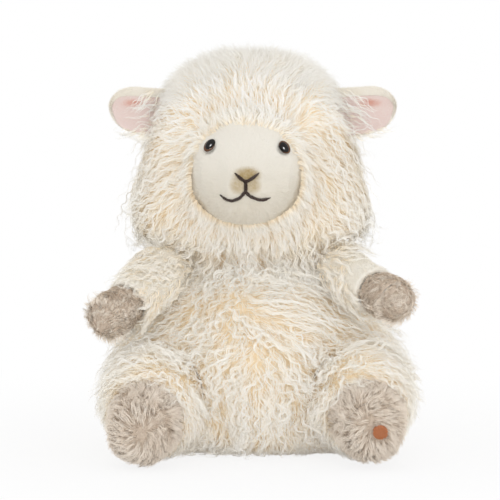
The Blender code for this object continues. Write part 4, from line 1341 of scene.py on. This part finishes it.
for side in OUTWARDS:
    cover = f"leg_cover_{side}"
    wool_backing(cover, f"thigh_backing_{side}", f"leg_{side}", 0.0025, 0.001)
    add_undercoat(f"thigh_undercoat_{side}", roots_on(cover, UNDERCOAT_APART, above_floor),
                  f"leg_{side}", thigh_fall, length=0.018, low=0.2, high=0.9)
    add_wool(f"thigh_wool_{side}", roots_on(cover, LOCKS_APART, above_floor), f"leg_{side}", thigh_fall,
             thigh_length, thigh_lift, wave=0.0013)
    add_wool(f"thigh_curls_{side}", roots_on(cover, 0.0115, above_floor), f"leg_{side}", thigh_fall,
             thigh_length, lambda root: thigh_lift(root) + 0.001, wave=0.0024, flare=0.35,
             **FREE_CURLS)


# Sole dot
# A plain round patch of copper-coloured satin stitch on the right sole.

COPPER, copper_shader, copper = new_finish("copper_thread", Roughness=0.4)
satin = copper.node("ShaderNodeTexWave", {"Vector": copper.place(), "Scale": 700.0, "Distortion": 0.6})
dress(
    copper_shader,
    Base_Color=satin.between((0.40, 0.10, 0.028), (0.78, 0.29, 0.10)),
    Normal=relief(satin, 0.0003))


def satin_dot(name, node, rows=9, thick=0.0007):
    """Rows of thread side by side that fill a round patch."""
    low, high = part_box(node)
    centre = (low + high) / 2.0
    radius = high.x - centre.x
    ground = tree_of([node])
    slant = math.radians(55.0)
    steps, corners = 13, 8
    places, faces = [], []
    for row in range(rows):
        off = radius * (2.0 * row / (rows - 1) - 1.0) * 0.94
        half = math.sqrt(radius * radius - off * off)
        faces += sides_of(steps, corners, len(places)) + ends_of(steps, corners, len(places))
        for step in range(steps):
            along = half * (step / 6.0 - 1.0)
            x = centre.x + along * math.cos(slant) - off * math.sin(slant)
            z = centre.z + along * math.sin(slant) + off * math.cos(slant)
            seat = ground.ray_cast(Vector((x, -0.2, z)), Vector((0.0, 1.0, 0.0)))[0]
            y = seat.y if seat else centre.y
            end = 1.0 - 0.6 * abs(step / 6.0 - 1.0) ** 4
            for corner in range(corners):
                a = math.tau * corner / corners
                across = thick * 1.05 * math.cos(a)
                places.append((
                    x - across * math.sin(slant), y + 0.0001 - thick * end * math.sin(a),
                    z + across * math.cos(slant)))
    return new_piece(name, places, faces)


fit(satin_dot("sole_dot", "sole_dot_stitches"), COPPER, "leg_right", "copper_thread",
    "sole_dot_stitches")


# Tail
# A short tube of the same wool, sewn low on the back.

def tail_fall(place, normal, drift):
    return Vector((drift.x * 0.5, 0.7, -0.7))


wool_backing("tail_cover", "tail_backing", "tail", 0.0015, 0.0006, 0.006, fill=0.8)
add_wool("tail_wool", roots_on("tail_cover", 0.0040), "tail", tail_fall, 0.020, 0.005, points=14,
         low=0.5, high=1.0)


# Studio
# A pale floor and backdrop under soft lamps, with the camera level with the sheep's chin.

SPAN = 0.35
FAR = 4.0
TILT = math.radians(7.0)
aim = Vector((-0.0007, 0.0123, 0.1361))
camera_data = bpy.data.cameras.new("camera")
camera_data.sensor_width = 36.0
camera_data.lens = 36.0 * FAR / SPAN
camera_data.clip_end = 100.0
camera = bpy.data.objects.new("camera", camera_data)
camera.location = aim + Vector((0.0, -math.cos(TILT), math.sin(TILT))) * FAR
camera.rotation_euler = (math.pi / 2.0 - TILT, 0.0, 0.0)
bpy.context.scene.collection.objects.link(camera)
bpy.context.scene.camera = camera

FLOOR, floor_shader, floor = new_finish("floor_paper", Roughness=0.9)
grain = floor.cloud(40.0)
dress(floor_shader, Base_Color=grain.between((0.90, 0.90, 0.90), (0.93, 0.93, 0.93)))
seen = floor.node("ShaderNodeLightPath", output=0)
glow = floor.node("ShaderNodeEmission", {"Color": (1.0, 1.0, 1.0), "Strength": 1.0})
far_off = floor.distance_from((0.0, 0.0, 0.0), (1.0, 1.0, 1.0)).within(0.12, 0.40)
mixed = floor.node("ShaderNodeMixShader", {
    0: seen * (0.85 + 0.15 * far_off), 1: Pattern(floor.tree, floor_shader.outputs[0]), 2: glow})
floor.tree.links.new(mixed.socket, floor.tree.nodes["Material Output"].inputs["Surface"])
FLOOR_REACH = 8.0
floor_piece = new_piece("floor", [
    (x * FLOOR_REACH, y * FLOOR_REACH, 0.0) for x, y in ((-1, -1), (1, -1), (1, 1), (-1, 1))
], [(0, 1, 2, 3)], turn_out=False)
floor_piece.location.z = -0.0002
floor_piece.data.materials.append(FLOOR)

world = bpy.data.worlds.new("studio")
bpy.context.scene.world = world
world.use_nodes = True
sky = Pattern(world.node_tree)
rays = [sky.node("ShaderNodeLightPath", output=index) for index in (0, 3, 4)]
open_sky = sky.maths("MAXIMUM", rays[0], sky.maths("MAXIMUM", rays[1], rays[2]))
world.node_tree.nodes["Background"].inputs["Color"].default_value = (1.0, 1.0, 1.0, 1.0)
strength = sky.node("ShaderNodeMapRange", {0: open_sky, 1: 0.0, 2: 1.0, 3: 0.88, 4: 1.0})
world.node_tree.links.new(strength.socket, world.node_tree.nodes["Background"].inputs["Strength"])

for name, place, size, power in (
        ("key", (1.0, -2.0, 0.22), 1.4, 10.0), ("fill", (-0.7, -2.1, 0.05), 1.6, 6.5),
        ("catch", (0.1, -2.1, 0.55), 0.8, 100.0)):
    lamp = bpy.data.lights.new(name, "AREA")
    lamp.size = size
    lamp.energy = power
    stand = bpy.data.objects.new(name, lamp)
    stand.location = place
    stand.rotation_euler = (aim - Vector(place)).to_track_quat("-Z", "Y").to_euler()
    stand.visible_diffuse = name != "catch"
    bpy.context.scene.collection.objects.link(stand)

bpy.context.scene.view_settings.view_transform = "Standard"
